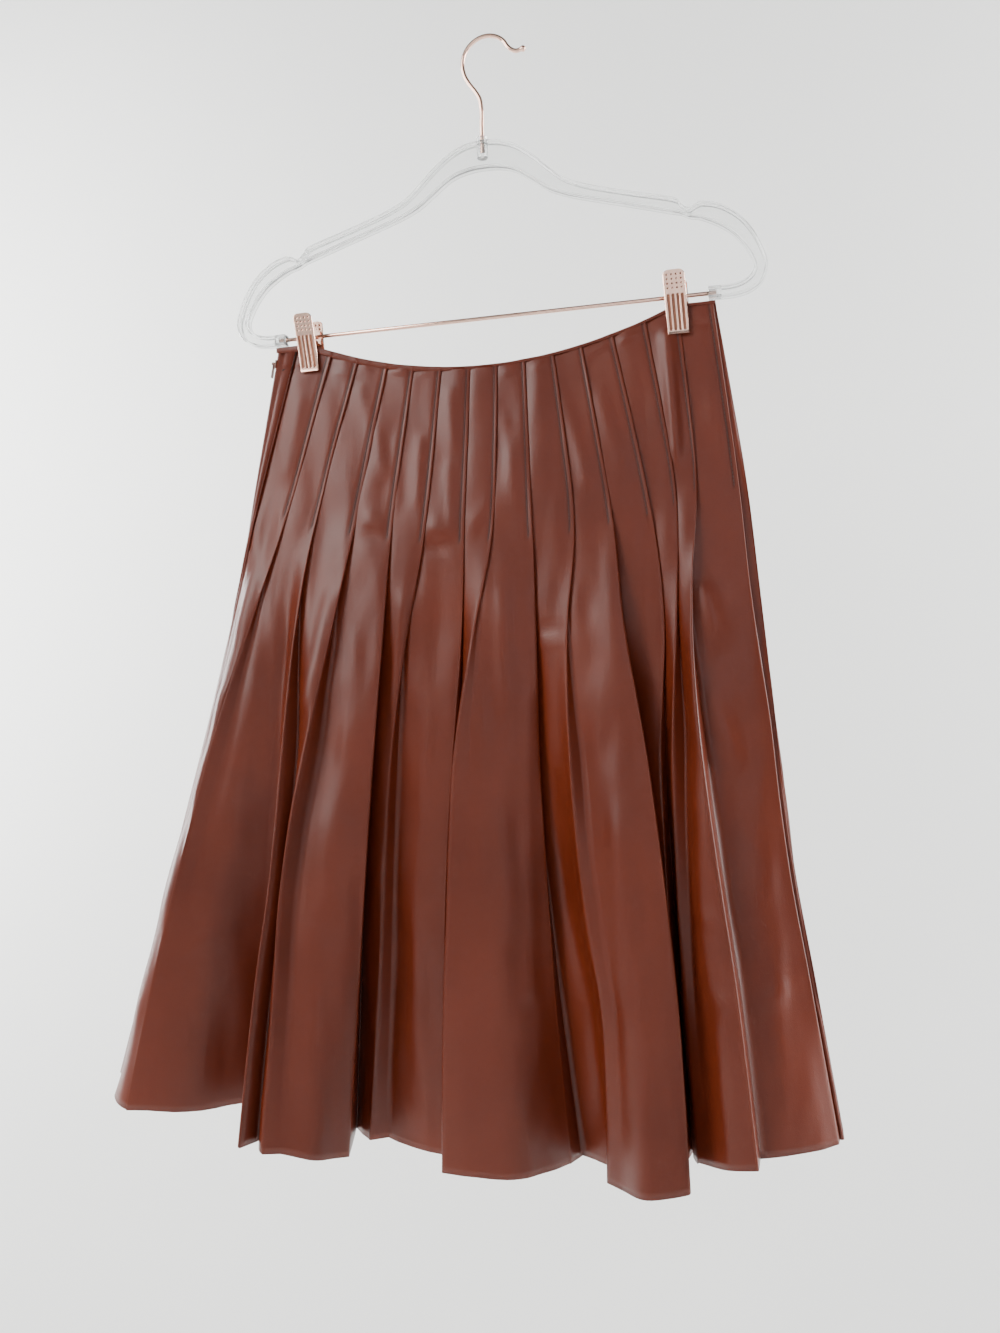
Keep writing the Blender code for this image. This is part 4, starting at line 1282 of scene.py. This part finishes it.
def pressed_depth(x, up):
    """How far the plate is pressed in at a place on its face: four rows of dots over four slots."""
    depth = 0.0
    for column in DOT_COLUMNS:
        for row in DOT_ROWS:
            away = hypot(x - column, up - row) / DOT_RADIUS
            depth = max(depth, PRESSED * min(1.6 * max(0.0, 1 - away**2), 1.0))
        along = min(max(up, SLOT_BOTTOM), SLOT_TOP)
        away = hypot(x - column, up - along) / SLOT_HALF_WIDTH
        edge = min(max((1.15 - away) / 0.35, 0.0), 1.0)
        depth = max(depth, PRESSED * edge * edge * (3 - 2 * edge))
    return depth


def clip_point(clip, side, x, out, up):
    return Vector((clip.bar_x + x - clip.slant * up, OUTWARDS[side] * out, BAR_Z + up))


def clip_plate(name, clip, side, metal, recess_shade):
    """The stamped plate: bent in profile, with rounded top corners and rolled edges."""
    line = sorted(PLATE_LINE, key=lambda point: point.up)
    ups = np.linspace(PLATE_BOTTOM, PLATE_TOP, PLATE_DOWN + 1)
    outs = spline([[point.out] for point in line], [point.up for point in line], ups)[:, 0]
    rows = []
    for up, out in zip(ups, outs):
        over = max(0.0, up - (PLATE_TOP - CLIP_CORNER)) / CLIP_CORNER
        half = CLIP_HALF_WIDTH - CLIP_CORNER * (1 - (1 - min(over, 1.0) ** 2) ** 0.5)
        row = []
        for i in range(PLATE_ACROSS + 1):
            share = 2 * i / PLATE_ACROSS - 1
            x = half * share
            rolled = ROLLED_IN * max(0.0, 1 - (1 - abs(share)) / ROLLED_SHARE) ** 2
            row.append(clip_point(clip, side, x, out - rolled - pressed_depth(x, up), up))
        rows.append(row if side == "front" else row[::-1])
    bm = bmesh.new()
    grid_mesh(bm, rows)
    plate = mesh_piece(name, bm, metal)
    # the second slot holds the plating with painted shade for the pressed dots and slots
    plate.data.materials.append(recess_shade)
    for k, face in enumerate(plate.data.polygons):
        down, along = divmod(k, PLATE_ACROSS)
        x = CLIP_HALF_WIDTH * (2 * (along + 0.5) / PLATE_ACROSS - 1)
        x = x if side == "front" else -x
        pressed = pressed_depth(x, between(ups[down], ups[down + 1], 0.5))
        face.material_index = int(pressed > PRESSED / 2)
    thicken = plate.modifiers.new("plate", "SOLIDIFY")
    thicken.thickness = CLIP_PLATE * 0.6 * MM
    thicken.offset = -1.0
    plate = applied(plate)
    plate.data.shade_smooth()
    plate.data.set_sharp_from_angle(angle=radians(55))
    return plate


def clip_ear(name, clip, side, face, metal):
    rings = []
    for x in (face, face + EAR_THICKNESS):
        rings.append([clip_point(clip, side, x, point.out - 0.4, point.up) for point in EAR_OUTLINE])
    ear = lofted(name, rings, metal, sharp=30)
    rounded = ear.modifiers.new("rounded", "BEVEL")
    rounded.width = 0.25 * MM
    rounded.segments = 2
    return applied(ear)


def add_clip(name, clip, metal, recess_shade):
    for side in ("front", "back"):
        node = f"clip_{name}_{side}"
        pieces = [clip_plate(f"plate_{name}_{side}", clip, side, metal, recess_shade)]
        for k, face in enumerate((-EAR_OUTER_X[side], EAR_OUTER_X[side] - EAR_THICKNESS)):
            pieces.append(clip_ear(f"ear_{name}_{side}_{k}", clip, side, face, metal))
        jaw = joined(f"jaw_{name}_{side}", pieces)
        dress(jaw, node)
    route = []
    steps = SPRING_TURNS * SPRING_STEPS
    for i in range(steps + 1):
        turn = tau * SPRING_TURNS * i / steps
        x = clip.bar_x + between(-SPRING_HALF_LENGTH, SPRING_HALF_LENGTH, i / steps)
        at = Vector((x, SPRING_RADIUS * cos(turn), BAR_Z + SPRING_RADIUS * sin(turn)))
        route.append((at, SPRING_WIRE))
    dress(tube(f"spring_{name}", route, metal, sides=12), f"clip_{name}_spring")


def add_hanger_and_clips():
    metal, recess_shade, clear = rose_gold_material(), recess_shade_material(), clear_material()
    dress(add_hanger(clear), "hanger_body")
    dress(tube("hook_wire", hook_route(), metal, sides=24), "hanger_hook")
    ends = ((BAR_END_X, BAR_RADIUS - BAR_CHAMFER), (BAR_END_X - 0.5, BAR_RADIUS))
    route = [(Vector((-x, 0, BAR_Z)), radius) for x, radius in ends]
    route += [(Vector((x, 0, BAR_Z)), radius) for x, radius in ends[::-1]]
    dress(tube("cross_bar", route, metal, sides=24), "hanger_bar")
    for name, clip in CLIPS.items():
        add_clip(name, clip, metal, recess_shade)


# ---- The zip.


def add_zip():
    paint = zip_paint_material()
    for name in ("zip_slider", "zip_pull"):
        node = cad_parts[name]
        node.data.materials.clear()
        node.data.materials.append(paint)


set_camera()
set_lights()
add_stage()
add_skirt()
add_hanger_and_clips()
add_zip()
